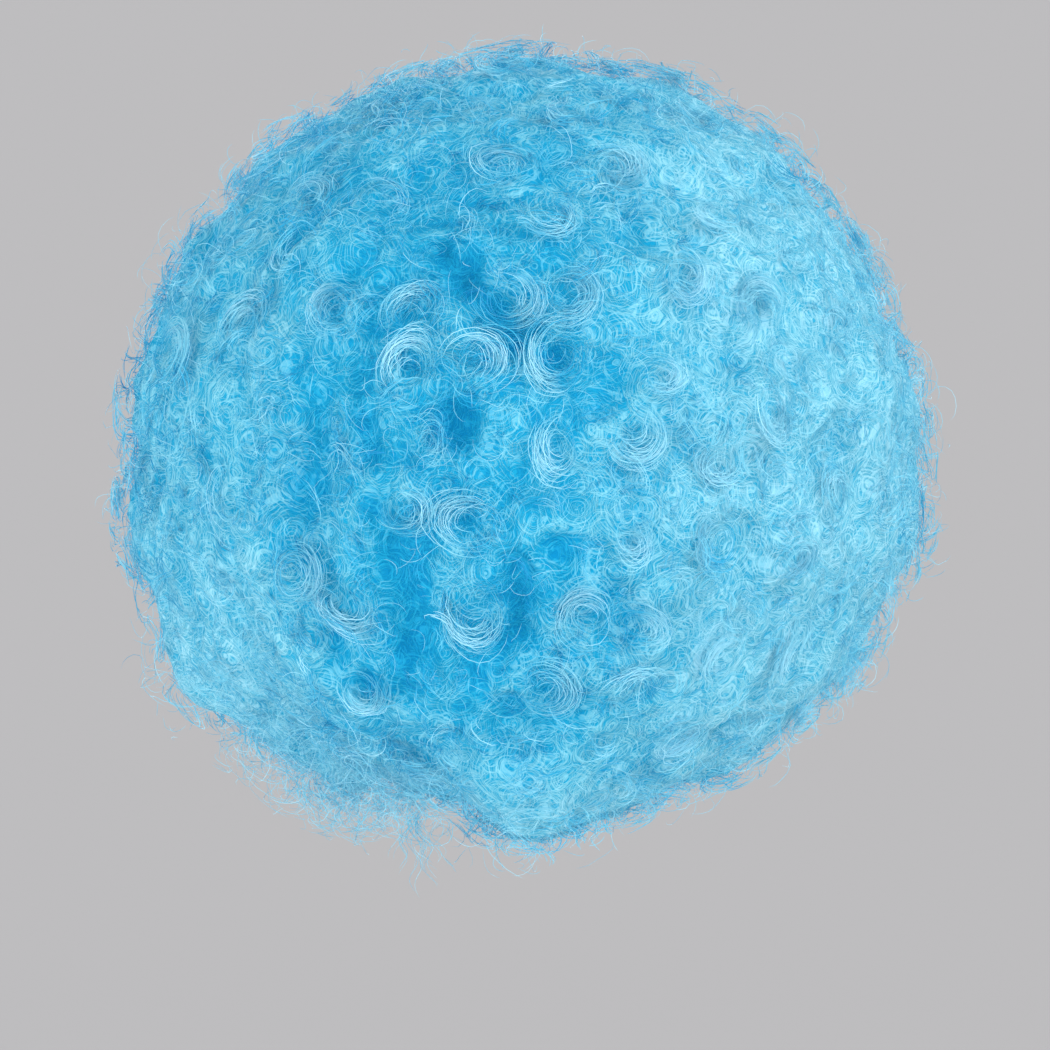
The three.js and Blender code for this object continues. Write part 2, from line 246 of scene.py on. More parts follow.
class WigStage(PropertyGroup):
    """The camera's place and the light."""

    azimuth: FloatProperty(
        name="Azimuth", description="The camera's turn round the wig, 180 behind it",
        default=math.radians(180), subtype="ANGLE",
    )
    elevation: FloatProperty(
        name="Elevation", description="The camera's height over the wig's middle",
        default=math.radians(3), subtype="ANGLE",
    )
    distance: FloatProperty(
        name="Distance", description="From the camera to the wig's middle",
        default=1.6, unit="LENGTH",
    )
    view_width: FloatProperty(
        name="View width", description="Width that the view takes in at the wig",
        default=0.410, unit="LENGTH",
    )
    below_middle: FloatProperty(
        name="Aim below the ball's middle", description="How far the view's centre lies under it",
        default=29 * MM, unit="LENGTH",
    )
    floor_drop: FloatProperty(
        name="Floor", description="How far the floor lies under the origin",
        default=1.6, unit="LENGTH",
    )


def unit(vectors):
    """The vectors at length one."""
    return vectors / np.maximum(np.linalg.norm(vectors, axis=-1, keepdims=True), 1e-12)


def rays(azimuth, polar):
    """Directions from the ball's middle. Azimuth 0 is the front and polar 0 is up, in radians."""
    azimuth, polar = np.broadcast_arrays(azimuth, polar)
    flat = np.sin(polar)
    return np.stack([flat * np.sin(azimuth), -flat * np.cos(azimuth), np.cos(polar)], -1)


def angles(directions):
    """The azimuth and the polar angle of directions, in radians."""
    azimuth = np.arctan2(directions[..., 0], -directions[..., 1]) % (2 * np.pi)
    return azimuth, np.arccos(np.clip(directions[..., 2], -1, 1))


def angle_to(directions, middle):
    """The angle between directions and one direction, in radians."""
    return np.arccos(np.clip(directions @ middle, -1, 1))


def share_of(value, start, width):
    """How far a value is past a start, as a share of a width from 0 to 1."""
    return np.clip((value - start) / width, 0, 1)


def out_from_middle(ways, reach):
    """Places along directions from the ball's middle."""
    return BALL_MIDDLE + ways * reach[..., None]


def any_angle(rng, count):
    """Angles drawn evenly from a whole turn, in radians."""
    return rng.uniform(0, 2 * np.pi, count)


def tree_of(nodes):
    """A tree for ray casts on the faces of CAD nodes."""
    points, faces = [], []
    for name in nodes:
        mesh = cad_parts[name].data
        start = len(points)
        points.extend(tuple(v.co) for v in mesh.vertices)
        faces.extend([start + i for i in p.vertices] for p in mesh.polygons)
    return BVHTree.FromPolygons(points, faces)


class Reach:
    """How far some CAD nodes reach from the ball's middle, by azimuth and polar angle."""

    STEP = math.radians(2)
    FAR = 0.4

    def __init__(self, nodes, soften, from_outside=True):
        self.azimuths = np.arange(0, 2 * np.pi - 1e-6, self.STEP)
        self.polars = np.arange(0, math.radians(166), self.STEP)
        grid = rays(self.azimuths[:, None], self.polars[None, :])
        tree = tree_of(nodes)
        self.hit = np.zeros(grid.shape[:2], bool)
        found = np.zeros(grid.shape[:2])
        for i, j in np.ndindex(found.shape):
            ray = Vector(grid[i, j])
            middle = Vector(BALL_MIDDLE)
            start, way = (middle + ray * self.FAR, -ray) if from_outside else (middle, ray)
            place = tree.ray_cast(start, way, self.FAR)[0]
            if place is not None:
                self.hit[i, j] = True
                found[i, j] = (place - middle).length
        self.reach = self.softened(found, soften)
        self.edge = self.edge_by_azimuth()

    def softened(self, found, soften):
        """The reach blurred over an angle, with places that no ray hit filled from around."""
        spread = math.radians(soften)
        apart = self.polars[:, None] - self.polars[None, :]
        over_polar = np.exp(-0.5 * (apart / spread) ** 2)
        turns = np.fft.fftfreq(len(self.azimuths), 1 / len(self.azimuths))
        width = spread / np.maximum(np.sin(self.polars), 0.08)
        over_azimuth = np.exp(-0.5 * (turns[:, None] * width[None, :]) ** 2)

        def blurred(values):
            wave = np.fft.fft(values @ over_polar, axis=0)
            return np.real(np.fft.ifft(wave * over_azimuth, axis=0))

        weight = blurred(self.hit.astype(float))
        near = blurred(found * self.hit) / np.maximum(weight, 1e-4)
        usual = found[self.hit].mean()
        return np.where(weight > 0.02, near, usual)

    def edge_by_azimuth(self):
        """The polar angle at which the nodes end, softened round the azimuths."""
        last = len(self.polars) - 1 - np.argmax(self.hit[:, ::-1], axis=1)
        turns = np.fft.fftfreq(len(self.azimuths), 1 / len(self.azimuths))
        wave = np.fft.fft(self.polars[last] + self.STEP / 2)
        return np.real(np.fft.ifft(wave * np.exp(-0.5 * (turns * math.radians(3)) ** 2)))

    def at(self, directions):
        """The reach along directions."""
        azimuth, polar = angles(directions)
        a = azimuth / self.STEP
        p = np.clip(polar / self.STEP, 0, len(self.polars) - 1.001)
        i, j = a.astype(int), p.astype(int)
        u, v = a - i, p - j
        count = len(self.azimuths)
        i0, i1 = i % count, (i + 1) % count
        low = self.reach[i0, j] * (1 - u) + self.reach[i1, j] * u
        high = self.reach[i0, j + 1] * (1 - u) + self.reach[i1, j + 1] * u
        return low * (1 - v) + high * v

    def edge_at(self, directions):
        """The polar angle of the edge at the directions' azimuths."""
        azimuth = angles(directions)[0]
        turn = np.append(self.azimuths, 2 * np.pi)
        return np.interp(azimuth, turn, np.append(self.edge, self.edge[0]))


def lumps(points, size, seed, waves=26):
    """Smooth noise at points, about -1 to 1, with lumps of a size."""
    rng = np.random.default_rng(seed)
    ways = unit(rng.normal(size=(waves, 3))) * rng.uniform(0.6, 1.4, (waves, 1))
    phase = any_angle(rng, waves)
    return np.sin(points @ ways.T * (np.pi / size) + phase).sum(-1) / math.sqrt(waves) * 1.2


def hollows(directions):
    """How far places lie in a furrow or a hollow between the curls, from 0 to 1."""
    points = directions * BALL_RADIUS
    seen = points[..., [0, 2]]
    found = np.zeros(directions.shape[:-1])
    for furrow in FURROWS:
        start = np.array(furrow["from"]) * BALL_RADIUS
        way = np.array(furrow["to"]) * BALL_RADIUS - start
        along = np.clip((seen - start) @ way / (way @ way), 0, 1)
        away = np.linalg.norm(seen - start - along[..., None] * way, axis=-1)
        here = furrow["depth"] * np.exp(-((away / furrow["width"]) ** 2))
        found = np.maximum(found, here * (directions[..., 1] > 0))
    between = np.clip(-1.1 - 1.3 * lumps(points, 21 * MM, 11), 0, 1)
    return np.maximum(found, 0.75 * between)


class Ball:
    """The hair's shape, read once from the frame."""

    PROUD = 3.5 * MM

    def __init__(self):
        self.outer = Reach(HAIR_NODES, 4.5)
        self.inner = Reach(HAIR_NODES, 2.0, from_outside=False)

    def surface(self, directions):
        """The ball's own surface, on which the tops of the curls lie."""
        rise = np.full(directions.shape[:-1], self.PROUD)
        for place in SETTLING:
            middle = rays(math.radians(place["azimuth"]), math.radians(place["polar"]))
            apart = np.degrees(angle_to(directions, middle))
            rise += place["rise"] * np.exp(-((apart / place["spread"]) ** 2))
        return self.outer.at(directions) + rise

    def under(self, ways, depth):
        """Places along directions at a depth under the surface."""
        return out_from_middle(ways, self.surface(ways) - depth)

    def places(self, count, rng, past_edge=0.0):
        """Directions spread evenly over the hair."""
        found = unit(rng.normal(size=(count * 3, 3)))
        polar = angles(found)[1]
        kept = found[polar < self.outer.edge_at(found) + past_edge]
        return kept[:count]


def zones_of(directions):
    """The name of each zone of the hair, with which of the directions lie in it."""
    polar = np.degrees(angles(directions)[1])
    return [(name, (polar >= low) & (polar < high)) for name, low, high in HAIR_ZONES]


def curl_places(sizes):
    """The middles, sizes and shine of all curls: those that stand out, then others between."""
    rng = np.random.default_rng(5)
    middles, widths, shine = [], [], []
    for curl in STANDOUT_CURLS:
        across, up = curl["across"], curl["up"]
        middles.append([across, math.sqrt(max(0.0, 1 - across**2 - up**2)), up])
        widths.append(curl["size"])
        shine.append(curl["shine"])
    candidates = BALL.places(5000, rng)
    shallow = hollows(candidates) < 0.15
    for place in candidates[shallow]:
        width = sizes.curl_size * rng.uniform(0.62, 1.25)
        apart = angle_to(np.array(middles), place) * BALL_RADIUS
        room = sizes.curl_spacing * (np.array(widths) + width) / (2 * sizes.curl_size)
        if (apart > room).all():
            middles.append(place)
            widths.append(width)
            shine.append(rng.uniform(0.15, 0.62))
    return unit(np.array(middles)), np.array(widths), np.array(shine)


def local_axes(directions):
    """For each direction two level axes on the ball's surface, the first one horizontal."""
    up = np.array([0.0, 0.0, 1.0])
    level = np.cross(np.broadcast_to(up, directions.shape), directions)
    poor = np.linalg.norm(level, axis=-1) < 1e-3
    level[poor] = [1.0, 0.0, 0.0]
    level = unit(level)
    return level, np.cross(directions, level)


def turned(axis, tilt, turn):
    """Three axes: one tilted by an angle about a level line turned by another, and two across."""
    level, slope = local_axes(axis)
    hinge = np.cos(turn)[:, None] * level + np.sin(turn)[:, None] * slope
    other = np.cross(axis, hinge)
    lean = np.cos(tilt)[:, None] * axis + np.sin(tilt)[:, None] * other
    return lean, hinge, np.cross(lean, hinge)


def rolled(middle, first, second, axis, radius, start, span, spiral, pitch, points):
    """Paths that roll round an axis: one for each row of the inputs."""
    share = np.linspace(0, 1, points)[None, :]
    angle = start[:, None] + span[:, None] * share
    size = radius[:, None] * (1 - spiral[:, None] * share)
    round_axis = (
        np.cos(angle)[..., None] * first[:, None, :]
        + np.sin(angle)[..., None] * second[:, None, :]
    )
    along = (share - 0.5) * pitch[:, None]
    return middle[:, None, :] + size[..., None] * round_axis + along[..., None] * axis[:, None, :]


def crimped(paths, waves, rng):
    """The paths with small waves in them, of a size and a wavelength in mm."""
    size, length = (value * MM for value in waves)
    count = len(paths)
    steps = np.linalg.norm(np.diff(paths, axis=1), axis=-1)
    way = np.concatenate([np.zeros((count, 1)), np.cumsum(steps, axis=1)], axis=1)
    out = paths.copy()
    for _ in range(2):
        side = unit(rng.normal(size=(count, 1, 3)))
        pace = 2 * np.pi / (length * rng.uniform(0.7, 1.4, (count, 1)))
        wave = np.sin(way * pace + any_angle(rng, (count, 1)))
        out += size * rng.uniform(0.4, 1, (count, 1, 1)) * wave[..., None] * side
    return out


def kept_within(paths, out, inward):
    """The paths held between a height over the ball's surface and a depth under it."""
    offset = paths - BALL_MIDDLE
    reach = np.linalg.norm(offset, axis=-1)
    way = offset / np.maximum(reach, 1e-9)[..., None]
    surface = BALL.surface(way)
    above = reach - surface
    limit = np.where(above > 0, out, inward)
    held = limit * np.tanh(above / limit)
    return out_from_middle(way, surface + held), held


def fibres_mesh(name, paths, axes, thickness, tones):
    """One mesh of closed three-sided fibres, pointed at both ends, with their tones."""
    count, points = paths.shape[:2]
    tones = np.broadcast_to(tones, (count, points))
    ahead = unit(np.gradient(paths, axis=1))
    side = unit(np.cross(ahead, axes[:, None, :]) + 1e-9)
    other = np.cross(ahead, side)
    inner = points - 2
    share = np.linspace(0, 1, points)[1:-1]
    taper = np.minimum(1, 2.2 * np.sqrt(share * (1 - share)))[None, :, None]
    thick = thickness.reshape(-1, 1, 1) / 2 * taper
    rings = []
    for corner in range(3):
        angle = 2 * np.pi * corner / 3
        around = math.cos(angle) * side[:, 1:-1] + math.sin(angle) * other[:, 1:-1]
        rings.append(paths[:, 1:-1] + thick * around)
    body = np.stack(rings, axis=2).reshape(count, inner * 3, 3)
    places = np.concatenate([paths[:, :1], body, paths[:, -1:]], axis=1)
    body_tones = np.repeat(tones[:, 1:-1], 3, axis=1)
    all_tones = np.concatenate([tones[:, :1], body_tones, tones[:, -1:]], axis=1)

    last = inner * 3 + 1
    corners = [0, 1, 2]
    tips = [[0, 1 + (k + 1) % 3, 1 + k] for k in corners]
    tips += [[last, last - 3 + k, last - 3 + (k + 1) % 3] for k in corners]
    sides = []
    for ring in range(inner - 1):
        here, there = 1 + 3 * ring, 4 + 3 * ring
        for k in corners:
            after = (k + 1) % 3
            sides.append([here + k, here + after, there + after, there + k])
    tips, sides = np.array(tips), np.array(sides).reshape(-1, 4)
    start = (np.arange(count) * (last + 1))[:, None, None]
    loops = np.concatenate(
        [(tips[None] + start).reshape(count, -1), (sides[None] + start).reshape(count, -1)],
        axis=1,
    ).ravel()
    sizes = np.tile(np.concatenate([np.full(len(tips), 3), np.full(len(sides), 4)]), count)

    mesh = bpy.data.meshes.new(name)
    mesh.vertices.add(places.shape[0] * places.shape[1])
    mesh.vertices.foreach_set("co", places.astype(np.float32).ravel())
    mesh.loops.add(len(loops))
    mesh.loops.foreach_set("vertex_index", loops.astype(np.int32))
    mesh.polygons.add(len(sizes))
    starts = np.concatenate([[0], np.cumsum(sizes)[:-1]])
    mesh.polygons.foreach_set("loop_start", starts.astype(np.int32))
    mesh.update(calc_edges=True)
    mesh.validate()
    mesh.shade_flat()
    set_tones(mesh, all_tones.ravel())
    return mesh


def set_attribute(mesh, name, values):
    """Gives each vertex of a mesh a number or a vector of its own, under a name."""
    kind, field = ("FLOAT", "value") if values.ndim == 1 else ("FLOAT_VECTOR", "vector")
    layer = mesh.attributes.new(name, kind, "POINT")
    layer.data.foreach_set(field, values.astype(np.float32).ravel())


def set_tones(mesh, tones):
    """Gives a mesh the tone of each of its vertices, from 0 in the hollows to 1 on top: the tone
    carries painted shade deep down and painted light on top.
    """
    set_attribute(mesh, "tone", np.clip(tones, 0, 1))


def fibre_piece(name, material, paths, axes, thickness, tones):
    """A piece of hair made of fibres along paths."""
    piece = bpy.data.objects.new(name, fibres_mesh(name, paths, axes, thickness, tones))
    bpy.context.scene.collection.objects.link(piece)
    finish_piece(piece, material, "hair")


def finish_piece(piece, material, slot, *replaced):
    """Gives a piece its material and its place in the frame."""
    piece.data.materials.clear()
    piece.data.materials.append(material)
    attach(piece, "root")
    if replaced:
        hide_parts(*replaced)


def deselect_all():
    """Leaves object mode with nothing selected."""
    if bpy.context.object and bpy.context.object.mode != "OBJECT":
        bpy.ops.object.mode_set(mode="OBJECT")
    bpy.ops.object.select_all(action="DESELECT")


def start_editing(kind, action):
    """Enters edit mode for vertices, edges or faces, with all or none selected."""
    bpy.ops.object.mode_set(mode="EDIT")
    bpy.ops.mesh.select_mode(type=kind)
    bpy.ops.mesh.select_all(action=action)


def vertex_places(mesh):
    """The places of a mesh's vertices as an array."""
    found = np.empty(len(mesh.vertices) * 3, np.float32)
    mesh.vertices.foreach_get("co", found)
    return found.reshape(-1, 3).astype(float)


def set_vertex_places(mesh, places):
    """Moves a mesh's vertices."""
    mesh.vertices.foreach_set("co", places.astype(np.float32).ravel())
    mesh.update()


class NodeKit:
    """Short calls for laying out a node tree."""

    def __init__(self, tree):
        self.tree = tree
        self.across = -1400

    def add(self, kind, inputs=None, **settings):
        """A node with its settings, and values or links on its inputs."""
        node = self.tree.nodes.new(kind)
        node.location = (self.across, 0)
        self.across += 180
        for key, value in settings.items():
            setattr(node, key, value)
        for key, value in (inputs or {}).items():
            socket = node.inputs[key]
            if isinstance(value, bpy.types.NodeSocket):
                self.tree.links.new(value, socket)
            else:
                socket.default_value = value
        return node

    def math(self, operation, *values, clamp=False):
        """One sum of up to three values or sockets."""
        inputs = dict(enumerate(values))
        return self.add("ShaderNodeMath", inputs, operation=operation, use_clamp=clamp).outputs[0]

    def vector(self, operation, inputs):
        """One sum on vectors, with its inputs by number or name."""
        return self.add("ShaderNodeVectorMath", inputs, operation=operation).outputs[0]

    def noise(self, coordinates, scale):
        """Noise with one finer layer, about so many lumps in a metre."""
        inputs = {"Vector": coordinates, "Scale": scale, "Detail": 1.0}
        return self.add("ShaderNodeTexNoise", inputs).outputs

    def effect(self, name, inputs):
        """A shared effect, with this material's own values."""
        return self.add("ShaderNodeGroup", inputs, node_tree=effect_group(name)).outputs

    def attribute(self, name):
        """What a piece's own attribute says at each place."""
        return self.add("ShaderNodeAttribute", attribute_name=name).outputs

    def object_place(self):
        """The place on the object, in metres."""
        return self.add("ShaderNodeTexCoord").outputs["Object"]

    def warped(self, coordinates, scale, amount):
        """The coordinates moved to and fro by noise, up to half an amount each way."""
        noise = self.noise(coordinates, scale)["Color"]
        centred = self.vector("SUBTRACT", {0: noise, 1: (0.5, 0.5, 0.5)})
        moved = self.vector("SCALE", {0: centred, "Scale": amount})
        return self.vector("ADD", {0: coordinates, 1: moved})

    def ramp(self, value, stops):
        """Colours by value, from pairs of a place on the ramp and a colour."""
        node = self.add("ShaderNodeValToRGB", {"Fac": value})
        elements = node.color_ramp.elements
        while len(elements) < len(stops):
            elements.new(0.5)
        for element, (place, colour) in zip(elements, stops):
            element.position = place
            element.color = (*colour, 1.0)
        return node.outputs["Color"]


def curled_fibres(kit, given):
    """Fine fibres that lie in rings round scattered middles, as a mask."""
    moved = kit.warped(given["Coordinates"], 150.0, given["Crimp"])
    cells = kit.add(
        "ShaderNodeTexVoronoi", {"Vector": moved, "Scale": given["Curls per metre"]}
    ).outputs
    across = kit.math("MULTIPLY", cells["Distance"], given["Fibres per curl"])
    slow = kit.vector("SCALE", {0: moved, "Scale": 95.0})
    parts = kit.add("ShaderNodeSeparateXYZ", {0: slow}).outputs
    along = kit.add("ShaderNodeCombineXYZ", {0: across, 1: parts[0], 2: parts[1]})
    tint = kit.add("ShaderNodeSeparateColor", {0: cells["Color"]}).outputs[0]
    shift = kit.math("MULTIPLY_ADD", tint, 40.0, parts[2])
    lines = kit.add(
        "ShaderNodeTexNoise",
        {"Vector": along.outputs[0], "W": shift, "Scale": 1.0, "Detail": 1.5, "Roughness": 0.6},
        noise_dimensions="4D",
    )
    mask = kit.add(
        "ShaderNodeMapRange",
        {"Value": lines.outputs["Fac"], "From Min": 0.46, "From Max": 0.61},
    )
    return {"Mask": mask.outputs[0]}


def flecked_fibre(kit, given):
    """Glossy fibre: its tone and its roughness, each varied by fine flecks."""
    flecks = kit.noise(given["Coordinates"], 420.0)["Fac"]
    shift = kit.math("SUBTRACT", given["Lift"], 0.15)
    varied = kit.math("MULTIPLY_ADD", flecks, 0.3, shift)
    rough = kit.add("ShaderNodeMapRange", {
        "Value": flecks,
        "To Min": kit.math("SUBTRACT", given["Roughness"], 0.1),
        "To Max": kit.math("ADD", given["Roughness"], 0.12),
    })
    tone = kit.math("ADD", given["Tone"], varied, clamp=True)
    return {"Tone": tone, "Roughness": rough.outputs[0]}


def grain_and_relief_shade(kit, given):
    """The fine grain of spun thread over the relief of a weave, as a height and a tone. The tone
    is painted shade, darker where the weave and its grain lie lower.
    """
    grain = kit.noise(given["Coordinates"], given["Grain per metre"])["Fac"]
    height = kit.math("MULTIPLY_ADD", grain, given["Grain height"], given["Relief"])
    tone = kit.math("MULTIPLY", height, given["Tone per height"], clamp=True)
    return {"Height": height, "Tone": tone}


# Each shared effect: what lays it out, the values that it takes, and what it puts out
EFFECTS = {
    "Curled fibres": (
        curled_fibres, ("Curls per metre", "Fibres per curl", "Crimp"), ("Mask",),
    ),
    "Flecked fibre": (
        flecked_fibre, ("Tone", "Lift", "Roughness"), ("Tone", "Roughness"),
    ),
    "Grain and relief shade": (
        grain_and_relief_shade, ("Relief", "Grain per metre", "Grain height", "Tone per height"),
        ("Height", "Tone"),
    ),
}


def effect_group(name):
    """The node group of a shared effect, built when it is first asked for."""
    if name in bpy.data.node_groups:
        return bpy.data.node_groups[name]
    lay_out, values, results = EFFECTS[name]
    group = bpy.data.node_groups.new(name, "ShaderNodeTree")
    sockets = [("Coordinates", "INPUT", "NodeSocketVector")]
    sockets += [(value, "INPUT", "NodeSocketFloat") for value in values]
    sockets += [(result, "OUTPUT", "NodeSocketFloat") for result in results]
    for socket, way, kind in sockets:
        group.interface.new_socket(socket, in_out=way, socket_type=kind)
    kit = NodeKit(group)
    given = kit.add("NodeGroupInput").outputs
    kit.add("NodeGroupOutput", lay_out(kit, given))
    return group


def new_material(name):
    """An empty node material and its node kit."""
    material = bpy.data.materials.new(name)
    material.use_nodes = True
    material.node_tree.nodes.clear()
    return material, NodeKit(material.node_tree)


def close_material(kit, inputs):
    """Adds the shader and the output."""
    shader = kit.add("ShaderNodeBsdfPrincipled", inputs)
    kit.add("ShaderNodeOutputMaterial", {"Surface": shader.outputs[0]})


def shades(colour, *amounts):
    """A colour made darker or brighter by each of some amounts, as shaded and lit copies of it."""
    return [tuple(min(1.0, amount * value) for value in colour) for amount in amounts]


def hair_stops(colours):
    """The hair's colours by tone, from painted shade in the hollows to a painted highlight on top.
    """
    return [
        (0.0, colours.hollow), (0.38, colours.body), (0.72, colours.light), (1.0, colours.pale),
    ]


def felt_material(colours):
    """Felted fibre: fine fibres curled round many middles, over the tone of the place."""
    material, kit = new_material("felted fibre")
    place = kit.object_place()
    masks = []
    for layer in FELT_LAYERS:
        mapping = kit.add(
            "ShaderNodeMapping",
            {"Vector": place, "Location": (layer["shift"], 0.4 * layer["shift"], 0.0)},
        )
        fibres = kit.effect("Curled fibres", {
            "Coordinates": mapping.outputs[0],
            "Curls per metre": layer["curls"],
            "Fibres per curl": layer["fibres"],
            "Crimp": 3 * MM,
        })
        masks.append(fibres["Mask"])
    either = kit.math("MAXIMUM", masks[0], kit.math("MAXIMUM", masks[1], masks[2]))
    most = kit.math("ADD", masks[0], kit.math("ADD", masks[1], masks[2]))
    # The fine fibres are a pattern, painted lighter than the shade between them. The same mask
    # raises them by bump, and the tone attribute adds its painted shade and light.
    lit = kit.math("ADD", kit.math("MULTIPLY", either, 0.30), kit.math("MULTIPLY", most, 0.10))
    total = kit.math("ADD", lit, kit.attribute("tone")["Fac"])
    colour = kit.ramp(kit.math("SUBTRACT", total, 0.20, clamp=True), hair_stops(colours))
    bump = kit.add("ShaderNodeBump", {"Height": lit, "Strength": 0.65, "Distance": 1.2 * MM})
    rough = kit.add("ShaderNodeMapRange", {"Value": either, "To Min": 0.8, "To Max": 0.5})
    close_material(kit, {
        "Base Color": colour,
        "Roughness": rough.outputs[0],
        "Normal": bump.outputs[0],
        "Specular IOR Level": 0.12,
    })
    return material


def fibre_material(name, colours, roughness, lift):
    """Glossy synthetic fibre that takes its colour from its tone, raised by a lift."""
    material, kit = new_material(name)
    flecked = kit.effect("Flecked fibre", {
        "Coordinates": kit.object_place(),
        "Tone": kit.attribute("tone")["Fac"],
        "Lift": lift,
        "Roughness": roughness,
    })
    close_material(kit, {
        "Base Color": kit.ramp(flecked["Tone"], hair_stops(colours)),
        "Roughness": flecked["Roughness"],
        "Specular IOR Level": 0.32,
    })
    return material


class WIG_OT_felt(Operator):
    """Makes the felted ball of hair that the curls lie on"""

    bl_idname = "wig.felt"
    bl_label = "Felted hair"

    # Subdivisions of both sides, lengths in mm, and the lumps' sizes in mm with their seeds
    OUTER_LEVELS = 7
    INNER_LEVELS = 6
    FINE_LUMPS = (7, 3)
    COARSE_LUMPS = (17, 4)
    LUMP_HEIGHT = 0.6
    RIDGE_HEIGHT = 2.2
    HOLLOW_DEPTH = 7
    CAP_CLEARANCE = 0.6
    LEAST_THICKNESS = 12
    LINING_TONE = 0.22
    EDGE_SMOOTHINGS = 12

    def execute(self, context):
        sizes, colours = context.scene.wig_hair, context.scene.wig_colours
        outside = self.open_ball("hair_felt", self.OUTER_LEVELS)
        self.raise_curls(outside.data, sizes)
        inside = self.open_ball("hair_lining", self.INNER_LEVELS)
        self.fit_lining(inside.data)
        piece = self.joined(outside, inside)
        piece.data.shade_smooth()
        finish_piece(piece, felt_material(colours), "hair", *HAIR_NODES)
        return {"FINISHED"}

    def open_ball(self, name, levels):
        """A ball of triangles, open in front and below."""
        deselect_all()
        bpy.ops.mesh.primitive_ico_sphere_add(subdivisions=levels, radius=1.0)
        ball = bpy.context.object
        ball.name = ball.data.name = name
        kept = self.kept_faces(ball.data)
        start_editing("FACE", "DESELECT")
        bpy.ops.object.mode_set(mode="OBJECT")
        ball.data.polygons.foreach_set("select", ~kept)
        bpy.ops.object.mode_set(mode="EDIT")
        bpy.ops.mesh.delete(type="FACE")
        bpy.ops.object.mode_set(mode="OBJECT")
        self.draw_edge_line(ball.data)
        return ball

    def kept_faces(self, mesh):
        """The faces inside the hair's edge, without those that only touch it at a corner."""
        places = unit(vertex_places(mesh))
        within = angles(places)[1] < BALL.outer.edge_at(places)
        faces = triangles(mesh)
        kept = within[faces].all(axis=1)
        for _ in range(3):
            rim = rim_vertices(faces[kept], len(places))
            kept &= ~rim[faces].all(axis=1)
        return kept

    def draw_edge_line(self, mesh):
        """Moves the vertices of the open edge onto the hair's edge line, evenly spaced."""
        places = unit(vertex_places(mesh))
        loop = rim_loop(triangles(mesh), len(places))
        azimuth = np.unwrap(angles(places[loop])[0])
        turn = 2 * np.pi * np.sign(azimuth[-1] - azimuth[0])
        for _ in range(self.EDGE_SMOOTHINGS):
            before = np.append(azimuth[-1] - turn, azimuth[:-1])
            after = np.append(azimuth[1:], azimuth[0] + turn)
            azimuth = (before + 2 * azimuth + after) / 4
        line = rays(azimuth, np.full(len(loop), 1.0))
        places[loop] = rays(azimuth, BALL.outer.edge_at(line))
        set_vertex_places(mesh, places)

    def raise_curls(self, mesh, sizes):
        """Moves the outer side to the frame and raises its curls."""
        ways = unit(vertex_places(mesh))
        deep = hollows(ways)
        raised, ringed = curl_relief(ways)
        fine, coarse = (
            lumps(ways * BALL_RADIUS, size * MM, seed)
            for size, seed in (self.FINE_LUMPS, self.COARSE_LUMPS)
        )
        pale = brushed_out_and_lit(ways)
        relief = self.RIDGE_HEIGHT * MM * raised + (fine + coarse) * self.LUMP_HEIGHT * MM
        depth = sizes.felt_depth + self.HOLLOW_DEPTH * MM * deep - relief * (1 - 0.5 * pale)
        set_vertex_places(mesh, BALL.under(ways, depth))
        # Painted shade and light in the felt's tone: darker in the hollows and the curls' middles,
        # lighter on the curls' ridges and the lumps' tops, and paler where the hair is brushed out
        # and lit.
        tone = 0.27 - 0.28 * deep + 0.08 * raised + 0.05 * fine + 0.04 * coarse - 0.04 * ringed
        set_tones(mesh, tone * (1 - 0.7 * pale) + 0.52 * pale)

    def fit_lining(self, mesh):
        """Moves the inner side to just outside the frame's cap."""
        ways = unit(vertex_places(mesh))
        reach = np.minimum(
            BALL.inner.at(ways) + self.CAP_CLEARANCE * MM,
            BALL.surface(ways) - self.LEAST_THICKNESS * MM,
        )
        set_vertex_places(mesh, out_from_middle(ways, reach))
        set_tones(mesh, np.full(len(ways), self.LINING_TONE))
        bpy.ops.object.mode_set(mode="EDIT")
        bpy.ops.mesh.select_all(action="SELECT")
        bpy.ops.mesh.flip_normals()
        bpy.ops.object.mode_set(mode="OBJECT")

    def joined(self, outside, inside):
        """Both sides as one closed piece, bridged at their edges."""
        deselect_all()
        inside.select_set(True)
        outside.select_set(True)
        bpy.context.view_layer.objects.active = outside
        bpy.ops.object.join()
        start_editing("EDGE", "DESELECT")
        bpy.ops.mesh.select_non_manifold(extend=False)
        bpy.ops.mesh.bridge_edge_loops()
        bpy.ops.object.mode_set(mode="OBJECT")
        if rim_vertices(triangles(outside.data, True), len(outside.data.vertices)).any():
            raise RuntimeError("the felt isn't closed at its edge")
        return outside


def triangles(mesh, split=False):
    """The vertex numbers of a mesh's triangles, or of its faces split into triangles."""
    if split:
        mesh.calc_loop_triangles()
    source = mesh.loop_triangles if split else mesh.polygons
    found = np.empty(len(source) * 3, np.int32)
    source.foreach_get("vertices", found)
    return found.reshape(-1, 3)


def rim_edges(faces, count):
    """The open edges of some triangles."""
    edges = np.sort(np.concatenate([faces[:, [0, 1]], faces[:, [1, 2]], faces[:, [2, 0]]]), axis=1)
    keys, uses = np.unique(edges[:, 0].astype(np.int64) * count + edges[:, 1], return_counts=True)
    single = keys[uses == 1]
    return np.stack([single // count, single % count], axis=1)


def rim_vertices(faces, count):
    """Which vertices lie on an open edge of some triangles."""
    rim = np.zeros(count, bool)
    rim[rim_edges(faces, count).ravel()] = True
    return rim


